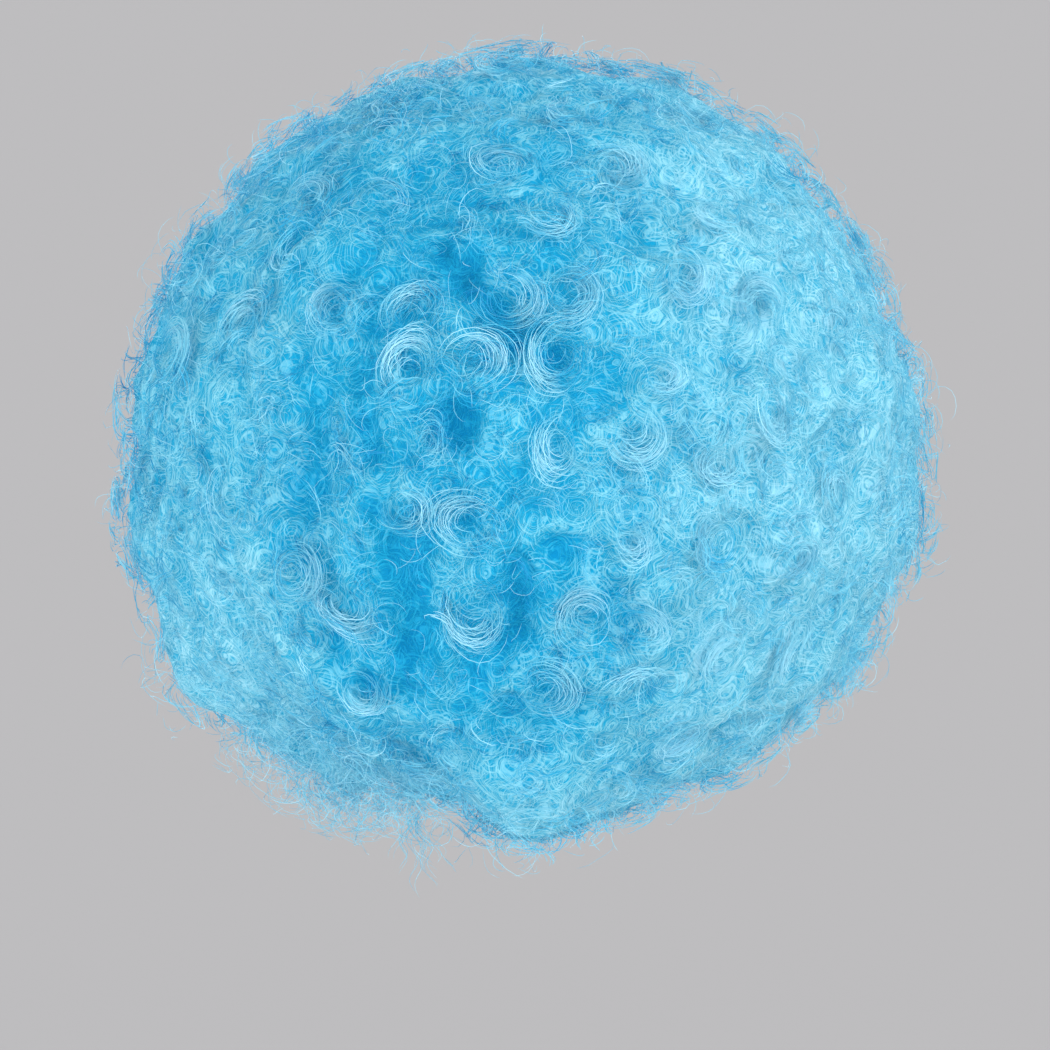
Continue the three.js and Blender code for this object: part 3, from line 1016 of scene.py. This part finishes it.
def rim_loop(faces, count):
    """The vertices of the open edge, in order round it."""
    beside = {}
    for first, second in rim_edges(faces, count).tolist():
        beside.setdefault(first, []).append(second)
        beside.setdefault(second, []).append(first)
    start = min(beside)
    loop, here, last = [start], beside[start][0], start
    while here != start:
        loop.append(here)
        ahead = beside[here][0] if beside[here][0] != last else beside[here][1]
        last, here = here, ahead
    if len(loop) != len(beside):
        raise RuntimeError("the felt's open edge isn't one loop")
    return np.array(loop)


def brushed_out_and_lit(ways):
    """From 0 to 1 where the hair is paler: one side, the nape and the top, and the other side most
    lower down. It is partly brushed-out, flatter fibre and partly painted light, where light falls
    brightest.
    """
    across, up = ways[..., 0], ways[..., 2]
    right = share_of(-across, 0.02, 0.42)
    left = (0.45 + 0.5 * share_of(-up, 0, 0.5)) * share_of(across, 0.36, 0.3)
    low = share_of(-up, 0.62, 0.2)
    top = 0.4 * share_of(up, 0.6, 0.3)
    return np.maximum(np.maximum(right, left), np.maximum(low, top))


def curl_relief(ways):
    """How high the felt rises in the ridge of a curl, and how far in its middle."""
    middles, widths, _ = CURLS
    raised = np.zeros(len(ways))
    ringed = np.zeros(len(ways))
    for middle, width in zip(middles, widths):
        near = ways @ middle > math.cos(1.3 * width / BALL_RADIUS)
        apart = angle_to(ways[near], middle) * BALL_RADIUS / (width / 2)
        ridge = np.exp(-(((apart - 0.66) / 0.34) ** 2))
        raised[near] = np.maximum(raised[near], ridge)
        ringed[near] = np.maximum(ringed[near], np.exp(-((apart / 0.35) ** 2)))
    return raised, ringed


class WIG_OT_curls(Operator):
    """Rolls the fibres of the curls, in one piece each for the crown, the middle and the nape"""

    bl_idname = "wig.curls"
    bl_label = "Curls"

    # A curl with more shine than this is bold. Ranges are in degrees, or shares of a width
    BOLD = 0.55
    POINTS = 12
    TILT = (5, 42)
    OVAL = (0.68, 1)
    SPAN = (100, 250)
    SPIRAL = (-0.12, 0.36)
    THICKNESS = (0.5, 1.0)

    # Lengths in mm: how deep a bold curl and another lie, how far fibres stray and wind, the
    # size and length of their waves, and how far they may stand out of the ball and go in
    SUNK = (2.4, 3.4)
    STRAY = 1.1
    PITCH = 2.2
    WAVES = (0.3, 9)
    OUT, IN = 3.5, 9

    def execute(self, context):
        sizes, colours = context.scene.wig_hair, context.scene.wig_colours
        material = fibre_material("curl fibre", colours, 0.38, 0.02)
        middles, widths, shine = CURLS
        for number, (name, zone) in enumerate(zones_of(middles)):
            rng = np.random.default_rng(40 + number)
            rolls = self.roll(middles[zone], widths[zone], shine[zone], sizes, rng)
            fibre_piece(f"curls_{name}", material, *rolls)
        return {"FINISHED"}

    def roll(self, middles, widths, shine, sizes, rng):
        """One zone's curls. Those that shine most have most fibres and lean least."""
        count = len(middles)
        bold = shine > self.BOLD
        fibres = np.where(bold, sizes.curl_fibres * 5 // 2, sizes.curl_fibres * 2 // 3)
        tilt = np.radians(rng.uniform(*self.TILT, count) * np.where(bold, 0.5, 1))
        turn = any_angle(rng, count)
        axis, first, second = turned(middles, tilt, turn)
        oval = rng.uniform(*self.OVAL, (count, 1))
        centre = BALL.under(middles, np.where(bold, *self.SUNK) * MM)
        # The angle round each curl where its painted highlight falls
        bright = any_angle(rng, count)

        def each(values):
            return np.repeat(values, fibres, axis=0)

        total = int(fibres.sum())
        inward = rng.beta(1.0, 1.8, total)
        slide = each(rng.uniform(0.5, 2.2, count) * MM) * rng.normal(0, 1, total)
        start = each(bright) + rng.normal(0, 0.95, total)
        span = np.radians(rng.uniform(*self.SPAN, total)) * np.where(each(turn) > np.pi, 1, -1)
        stray = rng.normal(0, self.STRAY * MM, (total, 3))
        paths = rolled(
            each(centre) + stray + slide[:, None] * each(first),
            each(first), each(second * oval), each(axis),
            each(widths) / 2 * (1.05 - 0.75 * inward),
            start - span / 2, span,
            rng.uniform(*self.SPIRAL, total),
            rng.normal(0, self.PITCH * MM, total),
            self.POINTS,
        )
        lift = (2.4 * MM * (1 - np.abs(inward - 0.3) * 1.6))[:, None, None]
        paths += lift * each(middles)[:, None, :]
        paths = crimped(paths, self.WAVES, rng)
        paths, height = kept_within(paths, self.OUT * MM, self.IN * MM)
        share = np.linspace(-0.5, 0.5, self.POINTS)[None, :]
        away = np.abs(start[:, None] - each(bright)[:, None] + span[:, None] * share)
        pale = each(brushed_out_and_lit(middles))[:, None]
        # Painted shade and light in the curl fibres' tone: lighter for curls with more shine and
        # higher over the ball, a painted highlight on one side of each curl, darker deep down and
        # in the hollows, and paler where the hair is brushed out and lit. The rest differs at
        # random.
        tones = 0.39 + 0.26 * each(shine)[:, None] + height * 30 * (1 - 0.5 * pale)
        tones = tones + rng.normal(0, 1, (total, 1)) * (0.15 - 0.06 * pale) + 0.15 * pale
        tones = tones + 0.22 * np.cos(away) * (1 - 0.5 * pale)
        tones = tones - 0.45 * hollows(unit(paths - BALL_MIDDLE))
        thick = sizes.fibre * rng.uniform(*self.THICKNESS, total)
        return paths, each(axis), thick, tones


class WIG_OT_clumps(Operator):
    """Lays small clumps of curved fibre all over the felt"""

    bl_idname = "wig.clumps"
    bl_label = "Clumps"

    # Ranges in degrees, in mm for the depth and the radius, or shares of a width
    POINTS = 5
    TILT = (0, 80)
    DEPTH = (0, 6.8)
    RADIUS = (4, 10.5)
    SPAN = (55, 135)
    SPIRAL = (-0.15, 0.25)
    THICKNESS = (0.6, 1.05)

    # Lengths in mm, as those of the curls
    STRAY = 1.1
    PITCH = 1.6
    WAVES = (0.3, 10)
    OUT, IN = 3, 10

    def execute(self, context):
        sizes, colours = context.scene.wig_hair, context.scene.wig_colours
        material = fibre_material("clump fibre", colours, 0.45, 0.0)
        rng = np.random.default_rng(71)
        places = BALL.places(sizes.clumps * 2, rng, past_edge=math.radians(2))
        places = places[hollows(places) < rng.uniform(0.1, 0.9, len(places))][:sizes.clumps]
        for name, zone in zones_of(places):
            fibre_piece(f"clumps_{name}", material, *self.lay(places[zone], sizes, rng))
        return {"FINISHED"}

    def lay(self, places, sizes, rng):
        """The clumps at some places."""
        fibres = sizes.clump_fibres
        count = len(places)
        tilt = np.radians(rng.uniform(*self.TILT, count))
        axis, first, second = turned(places, tilt, any_angle(rng, count))
        centre = BALL.under(places, rng.uniform(*self.DEPTH, count) * MM)

        def each(values):
            return np.repeat(values, fibres, axis=0)

        total = count * fibres
        paths = rolled(
            each(centre) + rng.normal(0, self.STRAY * MM, (total, 3)),
            each(first), each(second), each(axis),
            each(rng.uniform(*self.RADIUS, count) * MM) * rng.uniform(0.8, 1.2, total),
            each(any_angle(rng, count)) + rng.normal(0, 0.35, total),
            np.radians(rng.uniform(*self.SPAN, total)),
            rng.uniform(*self.SPIRAL, total),
            rng.normal(0, self.PITCH * MM, total),
            self.POINTS,
        )
        paths = crimped(paths, self.WAVES, rng)
        paths, height = kept_within(paths, self.OUT * MM, self.IN * MM)
        pale = each(brushed_out_and_lit(places))[:, None]
        spread = 0.12 - 0.07 * pale
        # Painted shade and light in the clumps' tone: lighter higher over the ball, darker in the
        # hollows, and paler where the hair is brushed out and lit. The rest differs at random.
        tones = 0.445 + height * 36 * (1 - 0.6 * pale) + 0.23 * pale
        tones = tones + rng.normal(0, 1, (total, 1)) * spread
        tones = tones + each(rng.exponential(0.9, (count, 1)) - 0.8) * spread
        tones = tones - 0.3 * hollows(unit(paths - BALL_MIDDLE))
        thick = sizes.fibre * rng.uniform(*self.THICKNESS, total)
        return paths, each(axis), thick, tones


class WIG_OT_frizz(Operator):
    """Stands thin loose fibres out of the ball all round"""

    bl_idname = "wig.frizz"
    bl_label = "Frizz"

    # The veil at the lower left: its fibres, how much longer they are, and where they stand,
    # as the middle and the spread of their azimuth in degrees
    VEIL = 900
    VEIL_LONGER = 2.3
    VEIL_AZIMUTH = (122, 19)

    # Ranges in degrees, in mm for the radius, or shares of a width
    POINTS = 8
    TILT = (25, 95)
    RADIUS = (3, 9)
    SPAN = (70, 190)
    SPIRAL = (-0.3, 0.4)
    THICKNESS = (0.7, 1.2)

    # Lengths in mm: how deep the roots lie, how far fibres wind, their waves, and how far in
    # they go. They stand out by this many times the reach of the frizz.
    ROOT_DEPTH = 3.5
    PITCH = 2.5
    WAVES = (0.4, 12)
    IN = 6
    MOST_REACH = 1.65

    def execute(self, context):
        sizes, colours = context.scene.wig_hair, context.scene.wig_colours
        rng = np.random.default_rng(93)
        places = BALL.places(sizes.frizz, rng, past_edge=math.radians(3))
        veil = self.veil_places(rng)
        longer = np.repeat([1.0, self.VEIL_LONGER], [len(places), len(veil)])
        places = np.concatenate([places, veil])
        count = len(places)
        tilt = np.radians(rng.uniform(*self.TILT, count))
        axis, first, second = turned(places, tilt, any_angle(rng, count))
        lift = rng.beta(1.1, 2.8, count) * sizes.frizz_reach * longer - self.ROOT_DEPTH * MM
        paths = rolled(
            BALL.under(places, -lift),
            first, second, axis,
            rng.uniform(*self.RADIUS, count) * np.sqrt(longer) * MM,
            any_angle(rng, count),
            np.radians(rng.uniform(*self.SPAN, count)),
            rng.uniform(*self.SPIRAL, count),
            rng.normal(0, self.PITCH * MM, count),
            self.POINTS,
        )
        paths = crimped(paths, self.WAVES, rng)
        paths, _ = kept_within(paths, self.MOST_REACH * sizes.frizz_reach, self.IN * MM)
        tones = 0.72 + rng.normal(0, 0.1, (count, 1))
        thick = sizes.frizz_fibre * rng.uniform(*self.THICKNESS, count)
        material = fibre_material("loose fibre", colours, 0.42, 0.05)
        fibre_piece("frizz", material, paths, axis, thick, tones)
        return {"FINISHED"}

    def veil_places(self, rng):
        """Places over the lower left, where the fibres stand out farthest."""
        azimuth = np.radians(rng.normal(*self.VEIL_AZIMUTH, self.VEIL))
        edge = BALL.outer.edge_at(rays(azimuth, np.ones(self.VEIL)))
        return rays(azimuth, edge - np.radians(np.abs(rng.normal(0, 14, self.VEIL)) - 3))


class WIG_OT_fringe(Operator):
    """Covers the hair's edge and its inner side with short curved fibres"""

    bl_idname = "wig.fringe"
    bl_label = "Edge fringe"

    # Fibres over the whole edge, at the nape's tail, and on the inner side below the cap
    ON_EDGE = 2000
    AT_TAIL = 400
    INSIDE = 1300

    # Ranges in degrees, in mm for the radius, or shares of a width, and a length in mm
    POINTS = 5
    TILT = (0, 75)
    RADIUS = (3, 6.5)
    SPAN = (80, 170)
    SPIRAL = (-0.2, 0.3)
    THICKNESS = (0.7, 1.1)
    PITCH = 2

    def execute(self, context):
        sizes, colours = context.scene.wig_hair, context.scene.wig_colours
        rng = np.random.default_rng(61)
        middles, axes = self.edge_places(rng)
        more, others = self.lining_places(rng)
        middles = np.concatenate([middles, more])
        axes = np.concatenate([axes, others])
        count = len(middles)
        tilt = np.radians(rng.uniform(*self.TILT, count))
        axis, first, second = turned(axes, tilt, any_angle(rng, count))
        paths = rolled(
            middles, first, second, axis,
            rng.uniform(*self.RADIUS, count) * MM,
            any_angle(rng, count),
            np.radians(rng.uniform(*self.SPAN, count)),
            rng.uniform(*self.SPIRAL, count),
            rng.normal(0, self.PITCH * MM, count),
            self.POINTS,
        )
        tones = 0.58 + rng.normal(0, 0.14, (count, 1))
        thick = sizes.fibre * rng.uniform(*self.THICKNESS, count)
        material = fibre_material("fringe fibre", colours, 0.45, 0.0)
        fibre_piece("fringe", material, paths, axis, thick, tones)
        return {"FINISHED"}

    def edge_places(self, rng):
        """Places over the hair's edge and most at the nape's tail, with the way it faces."""
        azimuth = np.concatenate([
            any_angle(rng, self.ON_EDGE), rng.normal(np.pi, 0.35, self.AT_TAIL),
        ])
        share = np.concatenate([
            rng.uniform(0, 1, self.ON_EDGE), rng.uniform(0.6, 1.05, self.AT_TAIL),
        ])
        edge = BALL.outer.edge_at(rays(azimuth, np.ones(len(azimuth))))
        ways = rays(azimuth, edge - math.radians(1.4))
        inner, outer = BALL.inner.at(ways), BALL.surface(ways) - 5 * MM
        middles = out_from_middle(ways, inner + share * (outer - inner))
        return middles, rays(azimuth, edge + np.pi / 2)

    def lining_places(self, rng):
        """Places on the hair's inner side below the cap, with the way that it faces."""
        ways = BALL.places(self.INSIDE * 5, rng)
        polar = angles(ways)[1]
        low = polar > BALL.outer.edge_at(ways) - math.radians(38)
        ways = ways[low][:self.INSIDE]
        return out_from_middle(ways, BALL.inner.at(ways) + 1.5 * MM), -ways


class WIG_OT_ringlets(Operator):
    """Hangs thin ringlets from the hair's edge at the nape"""

    bl_idname = "wig.ringlets"
    bl_label = "Ringlets"

    # Fibres in a ringlet, its points, the range of its depth in mm, and the size and the
    # length of its waves in mm
    FIBRES = 3
    POINTS = 28
    DEPTH = (3, 16)
    WAVES = (0.5, 20)
    THICKNESS = (0.8, 1.3)
    MOST_TURNS = 2.6

    def execute(self, context):
        sizes, colours = context.scene.wig_hair, context.scene.wig_colours
        rng = np.random.default_rng(17)
        parts = [self.hang(group, rng) for group in RINGLETS]
        paths = np.concatenate(parts)
        count = len(paths)
        paths = crimped(paths, self.WAVES, rng)
        tones = 0.78 + rng.normal(0, 0.12, (count, 1))
        axes = np.tile([0.0, 0.0, 1.0], (count, 1))
        thick = sizes.frizz_fibre * rng.uniform(*self.THICKNESS, count)
        material = fibre_material("ringlet fibre", colours, 0.42, 0.0)
        fibre_piece("ringlets", material, paths, axes, thick, tones)
        return {"FINISHED"}

    def hang(self, group, rng):
        """The paths of one group's ringlets, each of a few fibres wound together."""
        count = group["count"]
        azimuth = np.radians(group["azimuth"] + rng.normal(0, 0.6, count) * group["spread"])
        edge = BALL.outer.edge_at(rays(azimuth, np.ones(count)))
        way = rays(azimuth, edge - math.radians(2.5))
        top = BALL.under(way, rng.uniform(*self.DEPTH, count) * MM)
        drop = group["drop"] * rng.uniform(0.45, 1, count) + 5 * MM
        width = group["width"] * rng.uniform(0.5, 1.15, count)
        pitch = group["width"] * rng.uniform(1.6, 3.2, count)
        turns = np.minimum(drop / pitch, self.MOST_TURNS)
        lean = rng.normal(0, 0.22, (count, 2))

        def each(values):
            return np.repeat(values, self.FIBRES, axis=0)

        total = count * self.FIBRES
        share = np.linspace(0, 1, self.POINTS)[None, :]
        fall = each(drop)[:, None] * share * rng.uniform(0.7, 1, (total, 1))
        start = each(any_angle(rng, count)) + rng.normal(0, 0.25, total)
        angle = start[:, None] + 2 * np.pi * each(turns)[:, None] * share
        wide = each(width)[:, None] / 2 * rng.uniform(0.75, 1.1, (total, 1)) * (1 - 0.3 * share)
        across = wide * np.cos(angle) + fall * each(lean)[:, :1]
        along = wide * np.sin(angle) + fall * each(lean)[:, 1:]
        bow = np.stack([across, along, -fall], -1)
        return each(top)[:, None, :] + bow + rng.normal(0, 0.9 * MM, (total, 1, 3))


def smooth_copy(name, nodes, levels, lay_out=None):
    """CAD nodes copied, merged and rounded by subdivision, with their sharp edges kept."""
    deselect_all()
    copies = []
    for node in nodes:
        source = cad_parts[node]
        copy = bpy.data.objects.new(f"{name}_{node}", source.data.copy())
        bpy.context.scene.collection.objects.link(copy)
        if lay_out:
            lay_out(copy.data, node)
        copy.select_set(True)
        copies.append(copy)
    bpy.context.view_layer.objects.active = copies[0]
    if len(copies) > 1:
        bpy.ops.object.join()
    piece = bpy.context.object
    piece.name = piece.data.name = name
    start_editing("EDGE", "SELECT")
    bpy.ops.mesh.remove_doubles(threshold=0.02 * MM)
    bpy.ops.mesh.tris_convert_to_quads(face_threshold=1.2, shape_threshold=1.2)
    bpy.ops.mesh.select_all(action="DESELECT")
    bpy.ops.mesh.edges_select_sharp(sharpness=math.radians(60))
    bpy.ops.transform.edge_crease(value=0.8)
    bpy.ops.object.mode_set(mode="OBJECT")
    rounding = piece.modifiers.new("rounding", "SUBSURF")
    rounding.levels = rounding.render_levels = levels
    bpy.ops.object.modifier_apply(modifier=rounding.name)
    piece.data.shade_smooth()
    return piece


def lay_out_net(mesh, node):
    """Writes where each point of a cap panel lay in the flat net that it was cut from."""
    places = vertex_places(mesh)
    flat = np.zeros((len(places), 3))
    if node == CAP_CROWN:
        flat[:, :2] = places[:, :2]
    else:
        middle = places.mean(axis=0)
        turn = math.atan2(middle[0], -middle[1])
        out = np.hypot(places[:, 0], places[:, 1])
        azimuth = np.arctan2(places[:, 0], -places[:, 1]) - turn
        azimuth = (azimuth + np.pi) % (2 * np.pi) - np.pi
        flat[:, 0] = azimuth * out
        flat[:, 1] = np.hypot(out - out.min(), places[:, 2] - places[:, 2].max())
    set_attribute(mesh, "flat net", flat)


def net_material(colours):
    """Stretch net: two sets of slanting threads, knotted where they cross, over openings painted
    dark as shade.
    """
    material, kit = new_material("stretch net")
    moved = kit.warped(kit.attribute("flat net")["Vector"], 60.0, 1.2 * MM)
    parts = kit.add("ShaderNodeSeparateXYZ", {0: moved}).outputs
    across = kit.math("DIVIDE", parts[0], NET_OPENING)
    along = kit.math("DIVIDE", parts[1], NET_OPENING * 1.3)
    threads = []
    for slanted in (kit.math("ADD", across, along), kit.math("SUBTRACT", across, along)):
        away = kit.math("PINGPONG", slanted, 0.5)
        line = kit.add(
            "ShaderNodeMapRange",
            {"Value": away, "From Min": 0.17, "From Max": 0.05},
            interpolation_type="SMOOTHSTEP",
        )
        threads.append(line.outputs[0])
    thread = kit.math("MAXIMUM", threads[0], threads[1])
    knot = kit.math("MULTIPLY", threads[0], threads[1])
    grained = kit.effect("Grain and relief shade", {
        "Coordinates": kit.object_place(),
        "Relief": kit.math("MULTIPLY_ADD", knot, 0.4, thread),
        "Grain per metre": 1400.0,
        "Grain height": 0.25,
        "Tone per height": 0.62,
    })
    # Shaded and lit copies of the net's colour: painted shade in the openings and low grain, and
    # painted light on the raised threads and knots.
    dark, bright = shades(colours.net, 0.35, 1.6)
    colour = kit.ramp(grained["Tone"], [(0.12, dark), (0.55, colours.net), (1.0, bright)])
    bump = kit.add(
        "ShaderNodeBump", {"Height": grained["Height"], "Strength": 0.8, "Distance": 0.6 * MM}
    )
    rough = kit.add("ShaderNodeMapRange", {"Value": thread, "To Min": 0.95, "To Max": 0.7})
    close_material(kit, {
        "Base Color": colour,
        "Roughness": rough.outputs[0],
        "Normal": bump.outputs[0],
        "Specular IOR Level": 0.2,
    })
    return material


def elastic_material(colours):
    """Woven elastic: fine ribs along the band, over a fine weave."""
    material, kit = new_material("woven elastic")
    across = kit.attribute("across")["Fac"]
    ribs = kit.math("PINGPONG", kit.math("MULTIPLY", across, 11.0), 0.5)
    grained = kit.effect("Grain and relief shade", {
        "Coordinates": kit.object_place(),
        "Relief": kit.math("MULTIPLY", ribs, 2.0),
        "Grain per metre": 900.0,
        "Grain height": 1.0,
        "Tone per height": 0.5,
    })
    # Shaded and lit copies of the elastic's colour: painted shade in the grooves between the ribs
    # and the low grain, and painted light on the ribs' tops.
    dark, bright = shades(colours.elastic, 0.55, 1.35)
    colour = kit.ramp(grained["Tone"], [(0.1, dark), (0.5, colours.elastic), (0.9, bright)])
    bump = kit.add(
        "ShaderNodeBump", {"Height": grained["Height"], "Strength": 0.6, "Distance": 0.3 * MM}
    )
    close_material(kit, {
        "Base Color": colour,
        "Roughness": 0.8,
        "Normal": bump.outputs[0],
        "Specular IOR Level": 0.25,
    })
    return material


class WIG_OT_cap(Operator):
    """Makes the stretch net cap, with its seams, that the rows of hair are sewn on"""

    bl_idname = "wig.cap"
    bl_label = "Net cap"

    def execute(self, context):
        colours = context.scene.wig_colours
        piece = smooth_copy("net_cap", CAP_NODES, 2, lay_out_net)
        finish_piece(piece, net_material(colours), "net", *CAP_NODES)
        return {"FINISHED"}


class WIG_OT_band(Operator):
    """Makes the elastic band at the cap's edge"""

    bl_idname = "wig.band"
    bl_label = "Edge band"

    def execute(self, context):
        colours = context.scene.wig_colours
        piece = smooth_copy(BAND_NODE + "_woven", [BAND_NODE], 3)
        mesh = piece.data
        ways = vertex_places(mesh) - BALL_MIDDLE
        azimuth, polar = angles(unit(ways))
        band = Reach([BAND_NODE], 1.0)
        top = band.polars[np.argmax(band.hit, axis=1)]
        high = np.interp(azimuth, band.azimuths, top)
        low = band.edge_at(unit(ways))
        across = np.clip((polar - high) / np.maximum(low - high, 1e-3), 0, 1)
        set_attribute(mesh, "across", across)
        finish_piece(piece, elastic_material(colours), "elastic", BAND_NODE)
        return {"FINISHED"}


class WIG_OT_stage(Operator):
    """Sets the camera, the light and the pale floor"""

    bl_idname = "wig.stage"
    bl_label = "Stage"

    FLOOR_RADIUS = 2.2
    CURVE_RADIUS = 1.6
    CURVE_STEPS = 8
    WALL_HEIGHT = 2.2
    LIGHTS = (
        {"name": "key", "azimuth": 222, "elevation": 20, "away": 1.9, "size": 1.4, "watts": 18},
        {"name": "fill", "azimuth": 138, "elevation": -18, "away": 1.9, "size": 1.4, "watts": 15},
        {"name": "front", "azimuth": 10, "elevation": 15, "away": 2.0, "size": 1.4, "watts": 13},
    )

    def execute(self, context):
        stage = context.scene.wig_stage
        aim = Vector(BALL_MIDDLE) - Vector((0, 0, stage.below_middle))
        self.add_camera(context, stage, aim)
        for light in self.LIGHTS:
            self.add_light(light, Vector(BALL_MIDDLE))
        self.add_floor(stage)
        self.light_world(context)
        context.scene.view_settings.view_transform = "Standard"
        return {"FINISHED"}

    def put(self, data, azimuth, elevation, away, aim):
        """An object at an angle and a distance from a point, looking back at it."""
        flat = math.cos(elevation)
        way = Vector((
            math.sin(azimuth) * flat, -math.cos(azimuth) * flat, math.sin(elevation)
        ))
        thing = bpy.data.objects.new(data.name, data)
        bpy.context.scene.collection.objects.link(thing)
        thing.location = aim + way * away
        thing.rotation_euler = (-way).to_track_quat("-Z", "Y").to_euler()
        return thing

    def add_camera(self, context, stage, aim):
        """The camera, with the view's width at the wig turned into its angle."""
        data = bpy.data.cameras.new("camera")
        data.angle = 2 * math.atan(stage.view_width / 2 / stage.distance)
        context.scene.camera = self.put(
            data, stage.azimuth, stage.elevation, stage.distance, aim
        )

    def add_light(self, light, aim):
        """One round soft light."""
        data = bpy.data.lights.new(light["name"], "AREA")
        data.shape, data.size, data.energy = "DISK", light["size"], light["watts"]
        azimuth, elevation = math.radians(light["azimuth"]), math.radians(light["elevation"])
        self.put(data, azimuth, elevation, light["away"], aim)

    def add_floor(self, stage):
        """A pale floor that rises on all sides into a pale wall, so that no edge shows."""
        deselect_all()
        bpy.ops.mesh.primitive_circle_add(
            vertices=96, radius=self.FLOOR_RADIUS, fill_type="NGON",
            location=(0, 0, -stage.floor_drop),
        )
        floor = bpy.context.object
        floor.name = floor.data.name = "floor"
        start_editing("EDGE", "SELECT")
        radius, height = self.FLOOR_RADIUS, 0.0
        for step in range(1, self.CURVE_STEPS + 1):
            turn = math.radians(90 * step / self.CURVE_STEPS)
            wider = self.FLOOR_RADIUS + self.CURVE_RADIUS * math.sin(turn)
            higher = self.CURVE_RADIUS * (1 - math.cos(turn))
            bpy.ops.mesh.select_all(action="DESELECT")
            bpy.ops.mesh.select_non_manifold(extend=False)
            bpy.ops.mesh.extrude_edges_move()
            grow = wider / radius
            bpy.ops.transform.resize(value=(grow, grow, 1), center_override=(0, 0, 0))
            bpy.ops.transform.translate(value=(0, 0, higher - height))
            radius, height = wider, higher
        bpy.ops.mesh.extrude_edges_move()
        bpy.ops.transform.translate(value=(0, 0, self.WALL_HEIGHT))
        bpy.ops.object.mode_set(mode="OBJECT")
        bpy.ops.object.shade_smooth()
        material, kit = new_material("pale floor")
        close_material(kit, {
            "Base Color": (0.49, 0.485, 0.487, 1.0),
            "Roughness": 0.9,
            "Specular IOR Level": 0.1,
        })
        floor.data.materials.append(material)
        floor.visible_diffuse = floor.visible_glossy = False

    def light_world(self, context):
        """Even pale light from all sides."""
        world = bpy.data.worlds.new("studio")
        context.scene.world = world
        world.use_nodes = True
        world.node_tree.nodes.clear()
        kit = NodeKit(world.node_tree)
        glow = kit.add("ShaderNodeBackground", {"Color": (0.98, 0.98, 1.0, 1), "Strength": 0.97})
        kit.add("ShaderNodeOutputWorld", {"Surface": glow.outputs[0]})


class WIG_PT_dresser(Panel):
    """Lists the steps that dress the wig and their sizes"""

    bl_idname = "WIG_PT_dresser"
    bl_label = "Wig"
    bl_space_type = "VIEW_3D"
    bl_region_type = "UI"
    bl_category = "Wig"

    def draw(self, context):
        layout = self.layout
        for operator in OPERATORS:
            layout.operator(operator.bl_idname)
        for group in (context.scene.wig_hair, context.scene.wig_colours, context.scene.wig_stage):
            box = layout.box()
            for key in group.__annotations__:
                box.prop(group, key)


GROUPS = (WigHairSizes, WigColours, WigStage)
OPERATORS = (
    WIG_OT_felt,
    WIG_OT_curls,
    WIG_OT_clumps,
    WIG_OT_frizz,
    WIG_OT_fringe,
    WIG_OT_ringlets,
    WIG_OT_cap,
    WIG_OT_band,
    WIG_OT_stage,
)


def register():
    """Makes the sizes, the steps and the panel known to Blender."""
    for group in (*GROUPS, *OPERATORS, WIG_PT_dresser):
        bpy.utils.register_class(group)
    bpy.types.Scene.wig_hair = PointerProperty(type=WigHairSizes)
    bpy.types.Scene.wig_colours = PointerProperty(type=WigColours)
    bpy.types.Scene.wig_stage = PointerProperty(type=WigStage)


def unregister():
    """Takes them away again."""
    del bpy.types.Scene.wig_stage
    del bpy.types.Scene.wig_colours
    del bpy.types.Scene.wig_hair
    for group in reversed((*GROUPS, *OPERATORS, WIG_PT_dresser)):
        bpy.utils.unregister_class(group)


def main():
    """Reads the hair's shape from the frame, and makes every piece."""
    global BALL, CURLS
    register()
    BALL = Ball()
    CURLS = curl_places(bpy.context.scene.wig_hair)
    bpy.ops.wig.felt()
    bpy.ops.wig.curls()
    bpy.ops.wig.clumps()
    bpy.ops.wig.frizz()
    bpy.ops.wig.fringe()
    bpy.ops.wig.ringlets()
    bpy.ops.wig.cap()
    bpy.ops.wig.band()
    bpy.ops.wig.stage()


if __name__ == "__main__":
    main()
